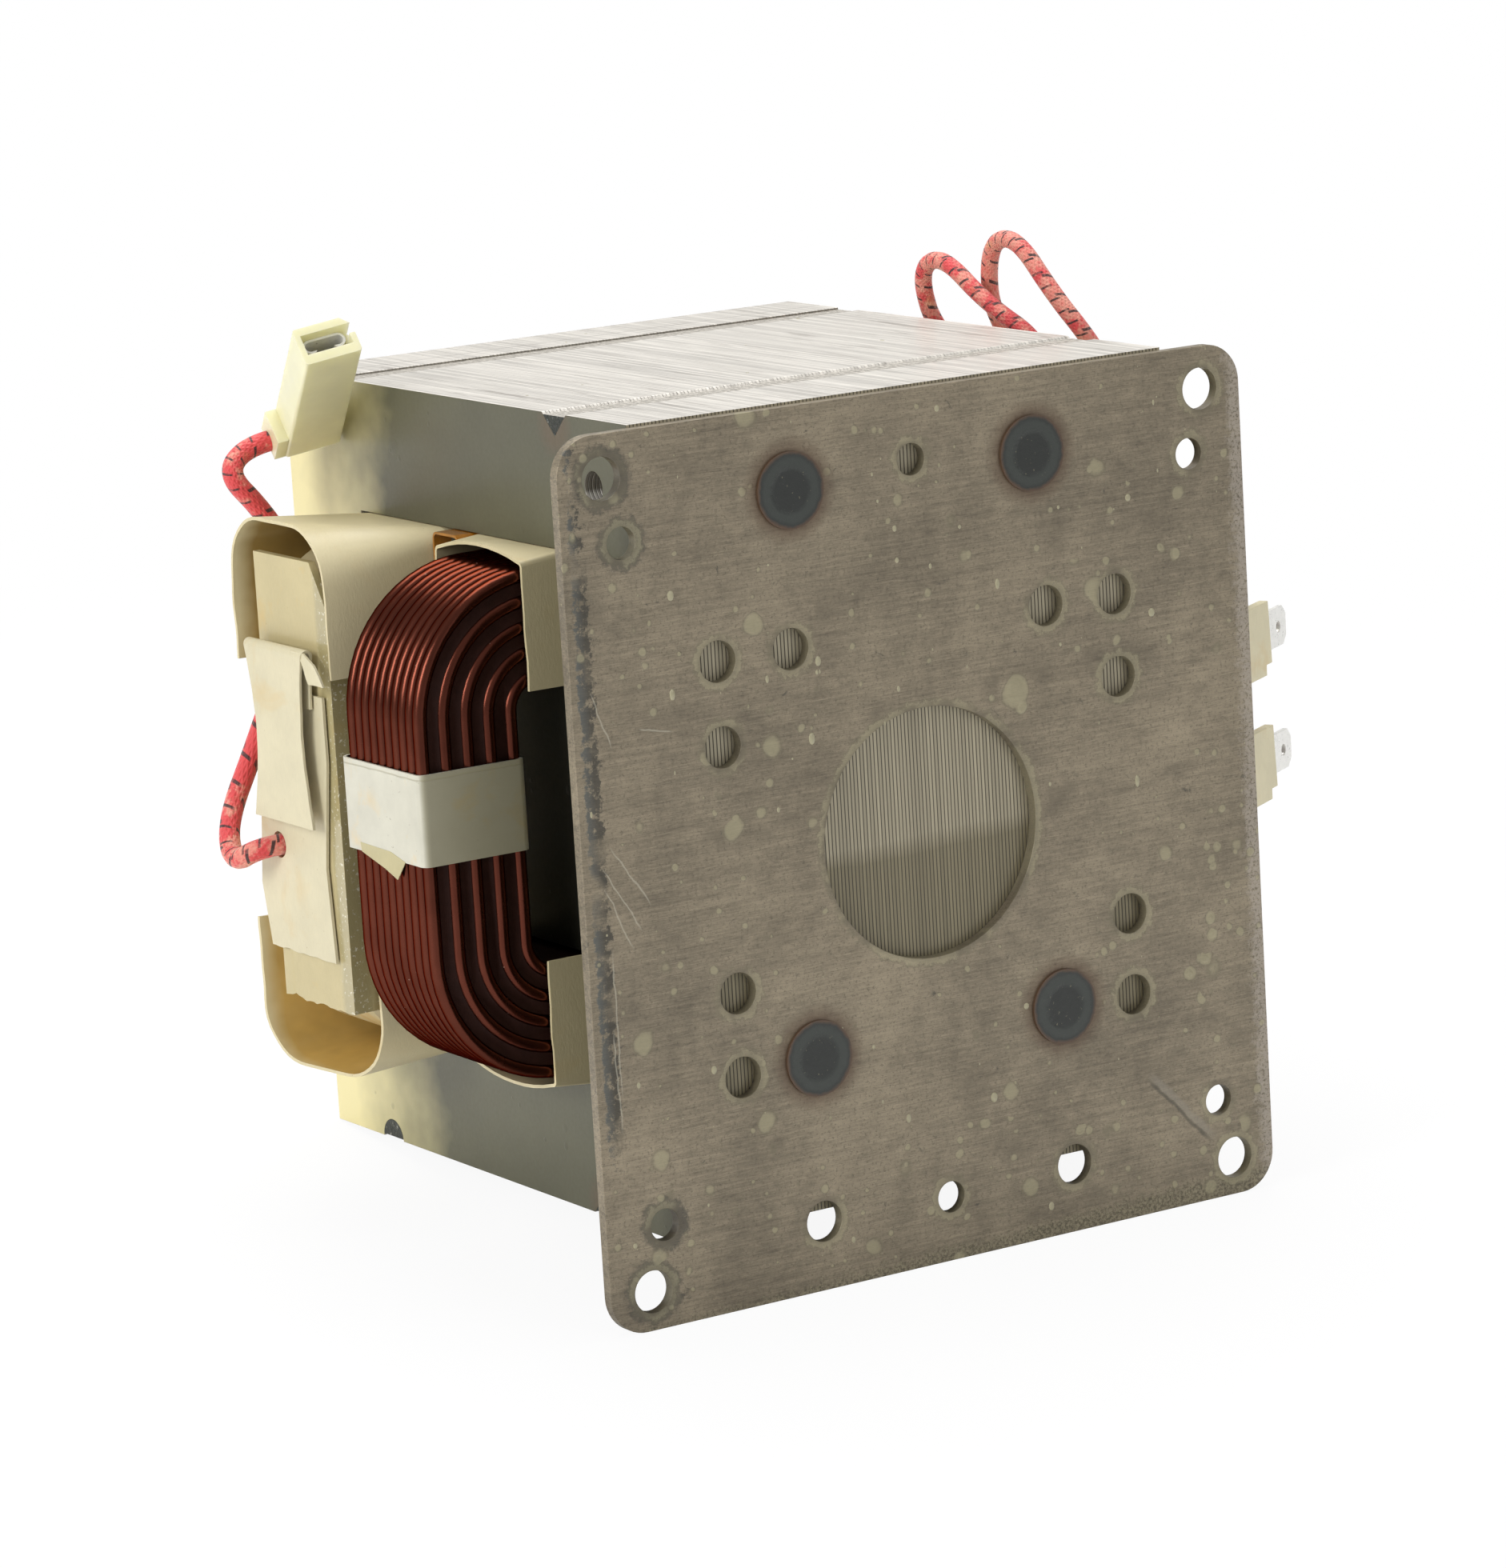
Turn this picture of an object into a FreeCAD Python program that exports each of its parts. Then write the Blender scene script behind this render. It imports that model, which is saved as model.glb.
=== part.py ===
import FreeCAD, Part
import math
import os
from FreeCAD import Matrix, Placement, Rotation, Vector

# Microwave transformer: a welded EI core on a punched steel base plate, with a heavy
# primary, a paper-boxed secondary, shunts between them and three braided leads.
# Millimetres. X runs along the plate's width, Y from the plate's outer face into the
# core, Z up the plate. The origin is the middle of the four corner holes, on the
# plate's outer face.

# Base plate
PLATE_W = 121.7
PLATE_H = 133.4
PLATE_T = 1.9
PLATE_CORNER_R = 6.0
PLATE_RISE = 0.3
CORNER_INSET_X = 7.4
CORNER_INSET_Z = 6.2
CORNER_HOLE_D = 6.4
PILOT_PITCH = 101.6
PILOT_HOLE_D = 4.8
CENTRE_HOLE_D = 38.2
SLOT_HOLE_D = 6.2
GROUP_X = 35.7
GROUP_STEP = 12.75
GROUP_LOW_Z = 18.5
EDGE_ROW_X = 23.0
EDGE_ROW_INSET = 10.9
EDGE_PILOT_INSET = 10.2
PLUG_D = 8.0
PLUG_HEAD_D = 11.5
PLUG_CROWN = 0.4
PLUG_TOP_INSET = 12.3
PLUG_LOW_INSET = 35.7
PLUG_TOP_X = 21.6
PLUG_LOW_X = 22.4

# Laminated core
LAM_T = 0.635
LAM_COUNT = 150
LEG = 20.32
BACK_YOKE = 22.1
CORE_Z = 6.46
SEAM_GROOVE_HALF = 3.4
SEAM_GROOVE_DEPTH = 3.4
BACK_GROOVE_R = 3.1
BACK_GROOVE_SETBACK = 17.92
BEAD_SINK = 0.35
YOKE_HOLE_D = 5.0
YOKE_HOLE_Z = 50.8

# Fits
FIT = 0.12
SLACK = 0.3
SEAM_GAP = 0.18
PACK_GAP = 0.2
CHANNEL_SLACK = 0.82

# Primary winding
WIRE_D = 2.19
TURNS_PER_LAYER = 10
LAYERS = 9
LAYER_PITCH = 1.9
CREST_ANGLE = 58.0
CREST_FLATS = 3
PRIMARY_IN_Z = 22.4
PRIMARY_IN_X = 57.35
PRIMARY_IN_R = 5.0

# Insulating papers and channels
PAPER_T = 0.5
PRIMARY_PAPER_DEPTH = 25.6
PRIMARY_PAPER_X = 54.9
PRIMARY_PAPER_R = 1.0
PRIMARY_PAPER_LIFT = 0.9
PRIMARY_PAPER_BOW = 1.6
CHANNEL_R = 2.2
CHANNEL_MOUTH_R = 9.5
CHANNEL_MOUTH_X = 70.5
CHANNEL_FLARE = 1.7
CHANNEL_LIFT_TOP = 2.9
CHANNEL_LIFT_LOW = 2.6
CHANNEL_LOW_NEAR_X = 66.0
CORNER_STEPS = 3
CROWN_STEPS = 4

# Tape band round the primary's left bulge
TAPE_T = 0.35
TAPE_Z = 3.3
TAPE_W = 13.8

# Magnetic shunts and their amber sleeves
SLEEVE_DEPTH = 7.7
SLEEVE_T = 0.4
SLEEVE_X = 50.5

# Secondary winding
SECONDARY_DEPTH = 21.0
SECONDARY_IN_Z = 21.2
SECONDARY_OUT_Z = 38.2
SECONDARY_IN_X = 51.6
SECONDARY_OUT_X = 68.4
SECONDARY_IN_R = 3.0
SECONDARY_OUT_R = 15.0
SECONDARY_EDGE = 0.8

# Paper cover on each bulge of the secondary
COVER_T = 1.2
COVER_LAP = 1.6
COVER_SHORT = 0.7
COVER_LOW_Z = -26.0
COVER_TOP_Z = 44.4
COVER_RETURN = 6.0
COVER_CORNER = 4.3
COVER_CORNER_Z = 37.7

# Filament winding beside the secondary
FILAMENT_D = 3.0
FILAMENT_TURNS = 3
FILAMENT_IN_Z = 21.6
FILAMENT_IN_X = 53.0
FILAMENT_R = 4.0

# Folded and flat paper strips at the high-voltage lead
STRIP_LOW_Z = -17.8
STRIP_TOP_Z = 24.0
STRIP_SHOULDER = 10.0
STRIP_WAIST_Z = -2.8
STRIP_NEAR = 1.7
STRIP_WAIST = 4.3
STRIP_FAR = 24.6
FOLD_LOW_Z = 3.8
FOLD_TOP_Z = 31.4
FOLD_BACK_Z = 22.0
FOLD_DEPTH = 2.2
FOLD_NEAR = 2.9
FOLD_FAR = 21.3

# Leads
LEAD_D = 3.3
FILAMENT_LEAD_D = 2.8
LEAD_HOLE_GAP = 0.4
LEAD_SIDES = 8
COLLAR_RUN = 4.4

# Flag housings and their receptacles
HOUSING_W = 9.2
HOUSING_L = 28.8
HOUSING_T = 6.3
HOUSING_R = 0.5
HOUSING_CHAMFER = 1.5
HOUSING_WALL = 0.9
HOUSING_FLOOR = 1.6
CAVITY_T = 3.4
CAVITY_L = 19.0
LATCH_L = 3.6
LATCH_W = 1.3
COLLAR_L = 5.2
COLLAR_OUT = 1.8
COLLAR_SIDE = 0.25
RECEPTACLE_W = 6.9
RECEPTACLE_T = 0.4
RECEPTACLE_L = 17.0
RECEPTACLE_CURL = 1.2
HV_HOUSING_AT = (-56.95, 89.0, 56.06)
HV_LEAD_WAY = (0.9697, -0.1848, 0.1598)
HV_MOUTH_WAY = (-0.244, -0.7687, 0.5912)
LOW_HOUSING_AT = (55.05, 50.6, 57.4)
HIGH_HOUSING_AT = (74.5, 56.4, 36.2)

# Mains tabs and the boards that carry them
BOARD_T = 1.6
BOARD_FOOT = 14.0
BOARD_OVERHANG = 0.955
BOARD_ARM = 13.6
BOARD_ANGLE = 31.0
BOARD_H = 10.2
BOARD_STEP_L = 2.4
BOARD_STEP_H = 1.7
BOARD_TAPER = 0.8
TAB_W = 6.35
TAB_T = 0.8
TAB_OUT = 7.4
TAB_IN = 9.0
TAB_HOLE_D = 1.8
TAB_HOLE_OUT = 4.1
TAB_TIP = 1.4
TAB_HIGH_Z = 15.0
TAB_LOW_Z = -5.2

# How far a cutter runs past what it cuts
PAST = 1.0

# Worked out from the sizes above
STACK = LAM_T * LAM_COUNT
HALF_STACK = STACK / 2
CORE_HALF_Z = 3 * LEG
YOKE_Y = PLATE_T
SEAM_Y = YOKE_Y + LEG
YOKE_HOLE_Y = YOKE_Y + LEG / 2
WIRE_R = WIRE_D / 2
PRIMARY_HALF_X = PRIMARY_IN_X + (LAYERS - 1) * LAYER_PITCH + WIRE_R
BOARD_BEND_X = PRIMARY_HALF_X + BOARD_OVERHANG
PRIMARY_DEPTH = (TURNS_PER_LAYER + 0.5) * WIRE_D
PRIMARY_PAPER_Y = SEAM_Y + SEAM_GAP
PRIMARY_PAPER_END_Y = PRIMARY_PAPER_Y + PRIMARY_PAPER_DEPTH
PRIMARY_Y = PRIMARY_PAPER_Y + PAPER_T + SLACK
SLEEVE_Y = PRIMARY_PAPER_END_Y + PACK_GAP
CHANNEL_Y = SLEEVE_Y + SLEEVE_DEPTH + PAPER_T
CHANNEL_SLOPE = CHANNEL_FLARE / (CHANNEL_MOUTH_X - HALF_STACK)
SECONDARY_Y = CHANNEL_Y + PAPER_T + 2 * PACK_GAP
SECONDARY_END_Y = SECONDARY_Y + SECONDARY_DEPTH
FILAMENT_Y = SECONDARY_END_Y + SLACK
CHANNEL_END_Y = FILAMENT_Y + FILAMENT_D + CHANNEL_SLACK + PAPER_T
WINDOW_END_Y = CHANNEL_END_Y + SLACK
CORE_END_Y = WINDOW_END_Y + BACK_YOKE
BACK_GROOVE_Y = CORE_END_Y - BACK_GROOVE_SETBACK
COVER_X = SECONDARY_OUT_X + SLACK + COVER_T
COVER_Y = SECONDARY_Y - COVER_LAP
COVER_END_Y = SECONDARY_END_Y - COVER_SHORT
PLUG_TOP_Z = PLATE_H / 2 + PLATE_RISE - PLUG_TOP_INSET
PLUG_LOW_Z = PLATE_RISE - PLATE_H / 2 + PLUG_LOW_INSET
EDGE_PILOT_Z = PLATE_H / 2 - EDGE_PILOT_INSET
EDGE_ROW_LOW_Z = EDGE_ROW_INSET - PLATE_H / 2
TOP, LOW = 1, -1
LEFT, RIGHT = -1, 1

# Routes of the three leads, chosen by hand from the photograph
LEAD_POINTS = [
    (-COVER_X, 74.6, -1.0),
    (-COVER_X - 4.6, 74.6, -1.0),
    (-76.6, 79.2, -3.8),
    (-74.4, 84.4, 1.8),
    (-66.4, 88.6, 11.8),
    (-59.0, 89.2, 26.4),
    (-56.8, 89.4, 40.6),
    (-61.8, 89.6, 48.8),
    (-66.8, 90.2, 54.6),
]
ARCH_LOW_POINTS = [
    (COVER_X, 74.0, 12.0),
    (COVER_X + 7.6, 74.0, 12.0),
    (80.6, 75.2, 26.0),
    (77.0, 75.6, 49.6),
    (55.6, 73.6, 62.4),
    (52.4, 73.6, 73.8),
    (53.4, 68.2, 77.0),
    (54.6, 57.6, 69.4),
]
ARCH_HIGH_POINTS = [
    (COVER_X, 64.0, 2.0),
    (COVER_X + 8.0, 64.0, 2.0),
    (82.4, 63.6, 18.0),
    (77.2, 63.2, 46.0),
    (59.4, 63.4, 64.6),
    (57.8, 61.4, 78.2),
    (58.4, 54.4, 80.4),
    (59.6, 46.0, 71.0),
    (62.8, 41.2, 63.8),
    (72.5, 45.5, 52.5),
]


def box(x0, x1, y0, y1, z0, z1):
    """A block between two corners."""
    return Part.makeBox(x1 - x0, y1 - y0, z1 - z0, Vector(x0, y0, z0))


def face_of(points):
    """A flat face with straight sides."""
    return Part.Face(Part.makePolygon([Vector(*p) for p in points] + [Vector(*points[0])]))


def mirrored(shape):
    """The same piece on the other side of the plane X = 0."""
    return shape.mirror(Vector(0, 0, 0), Vector(1, 0, 0))


def racetrack(half_x, half_z, radius, y, rise):
    """A closed wire in a plane of constant Y: a rectangle with round corners."""
    flat_x, flat_z = half_x - radius, half_z - radius
    arcs = []
    for quarter, (side, up) in enumerate(((1, 1), (-1, 1), (-1, -1), (1, -1))):
        points = []
        for part in (0, 0.5, 1):
            turn = math.pi / 2 * (quarter + part)
            x = side * flat_x + radius * math.cos(turn)
            z = up * flat_z + radius * math.sin(turn)
            points.append(Vector(x, y, rise + z))
        arcs.append(Part.Arc(*points))
    edges = []
    for arc, following in zip(arcs, arcs[1:] + arcs[:1]):
        edges.append(arc.toShape())
        edges.append(Part.makeLine(arc.EndPoint, following.StartPoint))
    return Part.Wire(edges)


def slab(outline, depth):
    """A flat outline drawn out along Y."""
    return Part.Face(outline).extrude(Vector(0, depth, 0))


# The plate

def hole_sites():
    """Every round hole of the plate as (x, z, diameter)."""
    half_x, half_z = PLATE_W / 2 - CORNER_INSET_X, PLATE_H / 2 - CORNER_INSET_Z
    pilot = PILOT_PITCH / 2
    group_z = GROUP_LOW_Z + GROUP_STEP
    sites = [(0, 0, CENTRE_HOLE_D), (0, EDGE_PILOT_Z, PILOT_HOLE_D), (0, -EDGE_PILOT_Z, PILOT_HOLE_D)]
    for side in (LEFT, RIGHT):
        for up in (TOP, LOW):
            sites.append((side * half_x, up * half_z, CORNER_HOLE_D))
            sites.append((side * pilot, up * pilot, PILOT_HOLE_D))
            sites.append((side * GROUP_X, up * GROUP_LOW_Z, SLOT_HOLE_D))
            sites.append((side * GROUP_X, up * group_z, SLOT_HOLE_D))
        sites.append((side * (GROUP_X - GROUP_STEP), group_z, SLOT_HOLE_D))
        sites.append((side * EDGE_ROW_X, EDGE_ROW_LOW_Z, SLOT_HOLE_D))
    return sites


def plug_sites():
    """The four plug welds as name: (x, z)."""
    return {
        "plug_weld_top_left": (-PLUG_TOP_X, PLUG_TOP_Z),
        "plug_weld_top_right": (PLUG_TOP_X, PLUG_TOP_Z),
        "plug_weld_low_left": (-PLUG_LOW_X, PLUG_LOW_Z),
        "plug_weld_low_right": (PLUG_LOW_X, PLUG_LOW_Z),
    }


def drill(x, z, diameter):
    """A cutter through the plate."""
    return Part.makeCylinder(diameter / 2, PLATE_T + 2 * PAST, Vector(x, -PAST, z), Vector(0, 1, 0))


def base_plate():
    """Punched steel plate with rounded corners."""
    plate = slab(racetrack(PLATE_W / 2, PLATE_H / 2, PLATE_CORNER_R, 0, PLATE_RISE), PLATE_T)
    cutters = [drill(*site) for site in hole_sites()]
    cutters += [drill(x, z, PLUG_D) for x, z in plug_sites().values()]
    return plate.cut(Part.makeCompound(cutters))


def plug_weld(x, z):
    """Weld metal that fills a hole of the plate and spreads to a low head on it."""
    stem_r, head_r = PLUG_D / 2, PLUG_HEAD_D / 2
    profile = [
        (0, -PLUG_CROWN, 0),
        (head_r, -PLUG_CROWN, 0),
        (head_r, 0, 0),
        (stem_r, 0, 0),
        (stem_r, PLATE_T, 0),
        (0, PLATE_T, 0),
    ]
    plug = face_of(profile).revolve(Vector(0, 0, 0), Vector(0, 1, 0), 360)
    plug.translate(Vector(x, 0, z))
    return plug


# The core

def seam_groove(up):
    """The notch along the joint between the yoke and the E stack."""
    z = CORE_Z + up * CORE_HALF_Z
    bottom = z - up * SEAM_GROOVE_DEPTH
    lip = up * PAST
    profile = [
        (-HALF_STACK, SEAM_Y - SEAM_GROOVE_HALF, z + lip),
        (-HALF_STACK, SEAM_Y - SEAM_GROOVE_HALF, z),
        (-HALF_STACK, SEAM_Y, bottom),
        (-HALF_STACK, SEAM_Y + SEAM_GROOVE_HALF, z),
        (-HALF_STACK, SEAM_Y + SEAM_GROOVE_HALF, z + lip),
    ]
    return face_of(profile).extrude(Vector(STACK, 0, 0))


def back_groove(up):
    """The round notch across the back of the E stack."""
    z = CORE_Z + up * CORE_HALF_Z
    return Part.makeCylinder(BACK_GROOVE_R, STACK, Vector(-HALF_STACK, BACK_GROOVE_Y, z), Vector(1, 0, 0))


def window_heights(up, gap):
    """Lowest and highest Z inside one window, less a gap at both."""
    z0 = CORE_Z + up * (LEG + gap)
    z1 = CORE_Z + up * (2 * LEG - gap)
    return min(z0, z1), max(z0, z1)


def core_block(y0, y1):
    """A full-height slice of the stack."""
    return box(-HALF_STACK, HALF_STACK, y0, y1, CORE_Z - CORE_HALF_Z, CORE_Z + CORE_HALF_Z)


def core_i_stack():
    """The yoke on the plate, with a locating hole at each end."""
    stack = core_block(YOKE_Y, SEAM_Y)
    cutters = [seam_groove(TOP), seam_groove(LOW)]
    for up in (TOP, LOW):
        place = Vector(-HALF_STACK - PAST, YOKE_HOLE_Y, CORE_Z + up * YOKE_HOLE_Z)
        cutters.append(Part.makeCylinder(YOKE_HOLE_D / 2, STACK + 2 * PAST, place, Vector(1, 0, 0)))
    return stack.cut(Part.makeCompound(cutters))


def core_e_stack():
    """The E laminations: two windows each side of a centre leg twice as wide."""
    stack = core_block(SEAM_Y, CORE_END_Y)
    cutters = [seam_groove(TOP), seam_groove(LOW), back_groove(TOP), back_groove(LOW)]
    for up in (TOP, LOW):
        z0, z1 = window_heights(up, 0)
        reach = HALF_STACK + PAST
        cutters.append(box(-reach, reach, SEAM_Y - PAST, WINDOW_END_Y, z0, z1))
    return stack.cut(Part.makeCompound(cutters))


def sunk_slice(up):
    """The core's envelope with the weld beads' crowns left just under its skin."""
    reach = CORE_HALF_Z - BEAD_SINK
    z0, z1 = (CORE_Z, CORE_Z + reach) if up == TOP else (CORE_Z - reach, CORE_Z)
    return box(-HALF_STACK, HALF_STACK, YOKE_Y, CORE_END_Y, z0, z1)


def weld_bead(groove, up):
    """Weld metal lying in one groove, from face to face of the stack."""
    return groove.common(sunk_slice(up))


# The primary

def crest(u, y, first, last):
    """The bare part of one wire's outline, in flats, between two angles from straight out."""
    points = []
    for step in range(CREST_FLATS + 1):
        turn = math.radians(first + (last - first) * step / CREST_FLATS)
        points.append((0, y + WIRE_R * math.sin(turn), u + WIRE_R * math.cos(turn)))
    return points


def primary_section():
    """Nine layers of ten wires laid in each other's grooves, seen along the wire.

    Every other layer stands half a wire proud on the plate's side, where varnish fills
    the valleys. The outermost layer shows all its wires.
    """
    front = PRIMARY_Y + WIRE_R
    top = (LAYERS - 1) * LAYER_PITCH
    outline = []
    for layer in range(0, LAYERS, 2):
        first = -90 - CREST_ANGLE if layer else -180
        last = -90 + CREST_ANGLE if layer < LAYERS - 1 else CREST_ANGLE
        outline += crest(layer * LAYER_PITCH, front, first, last)
    for turn in range(1, TURNS_PER_LAYER):
        last = CREST_ANGLE if turn < TURNS_PER_LAYER - 1 else 90
        outline += crest(top, front + turn * WIRE_D, -CREST_ANGLE, last)
    far = PRIMARY_Y + PRIMARY_DEPTH
    step = top - LAYER_PITCH / 2
    outline += [(0, far - WIRE_R, step), (0, far, step - WIRE_R), (0, far, -WIRE_R)]
    return face_of(outline)


def primary_winding():
    """The section carried round the centre leg: four straights and four bends."""
    run_x, run_z = PRIMARY_IN_X - PRIMARY_IN_R, PRIMARY_IN_Z - PRIMARY_IN_R
    starts = [(-run_x, run_z), (run_x, run_z), (run_x, -run_z), (-run_x, -run_z)]
    section = primary_section()
    section.translate(Vector(0, 0, PRIMARY_IN_R))
    pieces = []
    for corner, (x, z) in enumerate(starts):
        pivot_x, pivot_z = starts[(corner + 1) % len(starts)]
        face = section.rotated(Vector(0, 0, 0), Vector(0, 1, 0), 90 * corner)
        face.translate(Vector(x, 0, CORE_Z + z))
        way = Vector(pivot_x - x, 0, pivot_z - z)
        pieces.append(face.extrude(way))
        pivot = Vector(pivot_x, 0, CORE_Z + pivot_z)
        pieces.append(face.translated(way).revolve(pivot, Vector(0, 1, 0), 90))
    return pieces[0].multiFuse(pieces[1:]).removeSplitter()


# Papers

def arch(y0, y1, open_z, crown_z, up, radius, bow):
    """One side of a U of paper as (y, z): legs, rounded corners and a crown, bowed or flat."""
    side = []
    for step in range(CORNER_STEPS + 1):
        turn = math.pi / 2 * step / CORNER_STEPS
        side.append((radius * (1 - math.cos(turn)), radius * (1 - math.sin(turn))))
    points = [(y0, open_z)] + [(y0 + y, crown_z - up * z) for y, z in side]
    flat = y1 - y0 - 2 * radius
    for step in range(1, CROWN_STEPS if bow is not None else 1):
        part = step / CROWN_STEPS
        points.append((y0 + radius + flat * part, crown_z + up * bow * 4 * part * (1 - part)))
    points += [(y1 - y, crown_z - up * z) for y, z in reversed(side)]
    return points + [(y1, open_z)]


def channel_profile(up, open_z, crown_z, near, far, radius, bow):
    """A U of paper open towards the centre leg; near and far are (x, y) of its walls."""
    (near_x, near_y), (far_x, far_y) = near, far
    slope = (far_x - near_x) / (far_y - near_y)
    t = PAPER_T
    outer = arch(near_y, far_y, open_z, crown_z, up, radius, bow)
    inner = arch(near_y + t, far_y - t, open_z, crown_z - up * t, up, radius - t, bow)
    return [(near_x + slope * (y - near_y), y, z) for y, z in outer + inner[::-1]]


def flared(window, mouth):
    """Paper between the core's face and its mouth, in flat facets like creased paper."""
    faces = [face_of(window), face_of(mouth)]
    for here in range(len(window)):
        after = (here + 1) % len(window)
        faces.append(face_of([window[here], window[after], mouth[after]]))
        faces.append(face_of([window[here], mouth[after], mouth[here]]))
    shell = Part.makeShell(faces)
    shell.sewShape()
    return Part.makeSolid(shell)


def slot_channel(window, mouth):
    """Paper through one window of the core, flared where it leaves at each side."""
    middle = face_of(window).extrude(Vector(STACK, 0, 0))
    flare = flared(window, mouth)
    return middle.multiFuse([flare, mirrored(flare)]).removeSplitter()


def channel_sizes(up):
    """Heights of the open edge and of the crown inside a window."""
    open_z = CORE_Z + up * (LEG + FIT)
    crown_z = CORE_Z + up * (2 * LEG - FIT)
    return open_z, crown_z


def primary_slot_paper(up):
    """The stiff paper between the primary and the core."""
    open_z, crown_z = channel_sizes(up)
    y0, y1 = PRIMARY_PAPER_Y, PRIMARY_PAPER_END_Y
    x, r = PRIMARY_PAPER_X, PRIMARY_PAPER_R
    window = channel_profile(up, open_z, crown_z, (-HALF_STACK, y0), (-HALF_STACK, y1), r, 0)
    lifted = crown_z - up * (PRIMARY_PAPER_BOW - PRIMARY_PAPER_LIFT)
    mouth = channel_profile(up, open_z, lifted, (-x, y0), (-x, y1), r, PRIMARY_PAPER_BOW)
    return slot_channel(window, mouth)


def secondary_slot_paper(up):
    """The deep paper channel that boxes the secondary, arched where it comes out."""
    open_z, crown_z = channel_sizes(up)
    lift = CHANNEL_LIFT_TOP if up == TOP else CHANNEL_LIFT_LOW
    near_x = CHANNEL_MOUTH_X if up == TOP else CHANNEL_LOW_NEAR_X
    near, far = (-HALF_STACK, CHANNEL_Y), (-HALF_STACK, CHANNEL_END_Y)
    window = channel_profile(up, open_z, crown_z, near, far, CHANNEL_R, None)
    near = (-near_x, CHANNEL_Y - CHANNEL_FLARE)
    far = (-CHANNEL_MOUTH_X, CHANNEL_END_Y + CHANNEL_FLARE)
    mouth = channel_profile(up, open_z, crown_z + up * lift, near, far, CHANNEL_MOUTH_R, None)
    return slot_channel(window, mouth)


def primary_tape():
    """A band of tape right round the primary's left bulge."""
    inner_x = -PRIMARY_IN_X + WIRE_R
    outer_x = -PRIMARY_HALF_X
    y0 = PRIMARY_Y
    y1 = PRIMARY_Y + PRIMARY_DEPTH
    skin = FIT / 2
    hollow = box(outer_x - skin, inner_x + skin, y0 - skin, y1 + skin, TAPE_Z, TAPE_Z + TAPE_W)
    wall = skin + TAPE_T
    band = box(outer_x - wall, inner_x + wall, y0 - wall, y1 + wall, TAPE_Z, TAPE_Z + TAPE_W)
    return band.cut(hollow)


# Shunts

def shunt_sleeve(up):
    """Amber insulating sleeve round one shunt."""
    z0, z1 = window_heights(up, FIT)
    y1 = SLEEVE_Y + SLEEVE_DEPTH
    outer = box(-SLEEVE_X, SLEEVE_X, SLEEVE_Y, y1, z0, z1)
    edges = [e for e in outer.Edges if abs(e.tangentAt(e.FirstParameter).x) > 0.9]
    outer = outer.makeFillet(3 * SLEEVE_T, edges)
    t = SLEEVE_T
    inner = box(-SLEEVE_X, SLEEVE_X, SLEEVE_Y + t, y1 - t, z0 + t, z1 - t)
    edges = [e for e in inner.Edges if abs(e.tangentAt(e.FirstParameter).x) > 0.9]
    return outer.cut(inner.makeFillet(2 * SLEEVE_T, edges))


def magnetic_shunt(up):
    """A packet of steel strips that bridges one window."""
    z0, z1 = window_heights(up, FIT + SLEEVE_T + FIT)
    inset = SLEEVE_T + FIT
    packet = box(-HALF_STACK, HALF_STACK, SLEEVE_Y + inset, SLEEVE_Y + SLEEVE_DEPTH - inset, z0, z1)
    edges = [e for e in packet.Edges if abs(e.tangentAt(e.FirstParameter).x) > 0.9]
    return packet.makeFillet(2 * SLEEVE_T, edges)


# Secondary side

def secondary_winding():
    """The fine-wire coil as one impregnated racetrack."""
    outer = racetrack(SECONDARY_OUT_X, SECONDARY_OUT_Z, SECONDARY_OUT_R, SECONDARY_Y, CORE_Z)
    inner = racetrack(SECONDARY_IN_X, SECONDARY_IN_Z, SECONDARY_IN_R, SECONDARY_Y, CORE_Z)
    block = slab(outer, SECONDARY_DEPTH)
    ends = (SECONDARY_Y, SECONDARY_END_Y)
    rim = [e for e in block.Edges if min(abs(e.CenterOfMass.y - y) for y in ends) < 1e-6]
    return block.makeChamfer(SECONDARY_EDGE, rim).cut(slab(inner, SECONDARY_DEPTH))


def secondary_cover(side):
    """Layers of paper folded over one bulge of the secondary, with a return on its near side.

    Its near top corner is cut back to clear the channel's rounded corner.
    """
    x_out, x_in = COVER_X, COVER_X - COVER_T
    back_x = x_in - COVER_RETURN
    near = COVER_Y + CHANNEL_SLOPE * COVER_RETURN
    outline = [
        (x_out, COVER_Y, COVER_LOW_Z),
        (x_out, COVER_END_Y, COVER_LOW_Z),
        (x_in, COVER_END_Y, COVER_LOW_Z),
        (x_in, near + COVER_T / 2, COVER_LOW_Z),
        (back_x, near + COVER_T / 2, COVER_LOW_Z),
        (back_x, near, COVER_LOW_Z),
    ]
    cover = face_of(outline).extrude(Vector(0, 0, COVER_TOP_Z - COVER_LOW_Z))
    x = back_x - PAST
    corner = [
        (x, COVER_Y - PAST, COVER_CORNER_Z),
        (x, COVER_Y, COVER_CORNER_Z),
        (x, COVER_Y + COVER_CORNER, COVER_TOP_Z),
        (x, COVER_Y + COVER_CORNER, COVER_TOP_Z + PAST),
        (x, COVER_Y - PAST, COVER_TOP_Z + PAST),
    ]
    cover = cover.cut(face_of(corner).extrude(Vector(COVER_RETURN + COVER_T + 2 * PAST, 0, 0)))
    return cover if side == RIGHT else mirrored(cover)


def filament_winding():
    """Three heavy turns laid on each other between the secondary and the back of the window."""
    y = FILAMENT_Y
    build_up = FILAMENT_TURNS * FILAMENT_D
    outer = racetrack(FILAMENT_IN_X + build_up, FILAMENT_IN_Z + build_up, FILAMENT_R + build_up, y, CORE_Z)
    inner = racetrack(FILAMENT_IN_X, FILAMENT_IN_Z, FILAMENT_R, y, CORE_Z)
    return slab(outer, FILAMENT_D).cut(slab(inner, FILAMENT_D))


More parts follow.
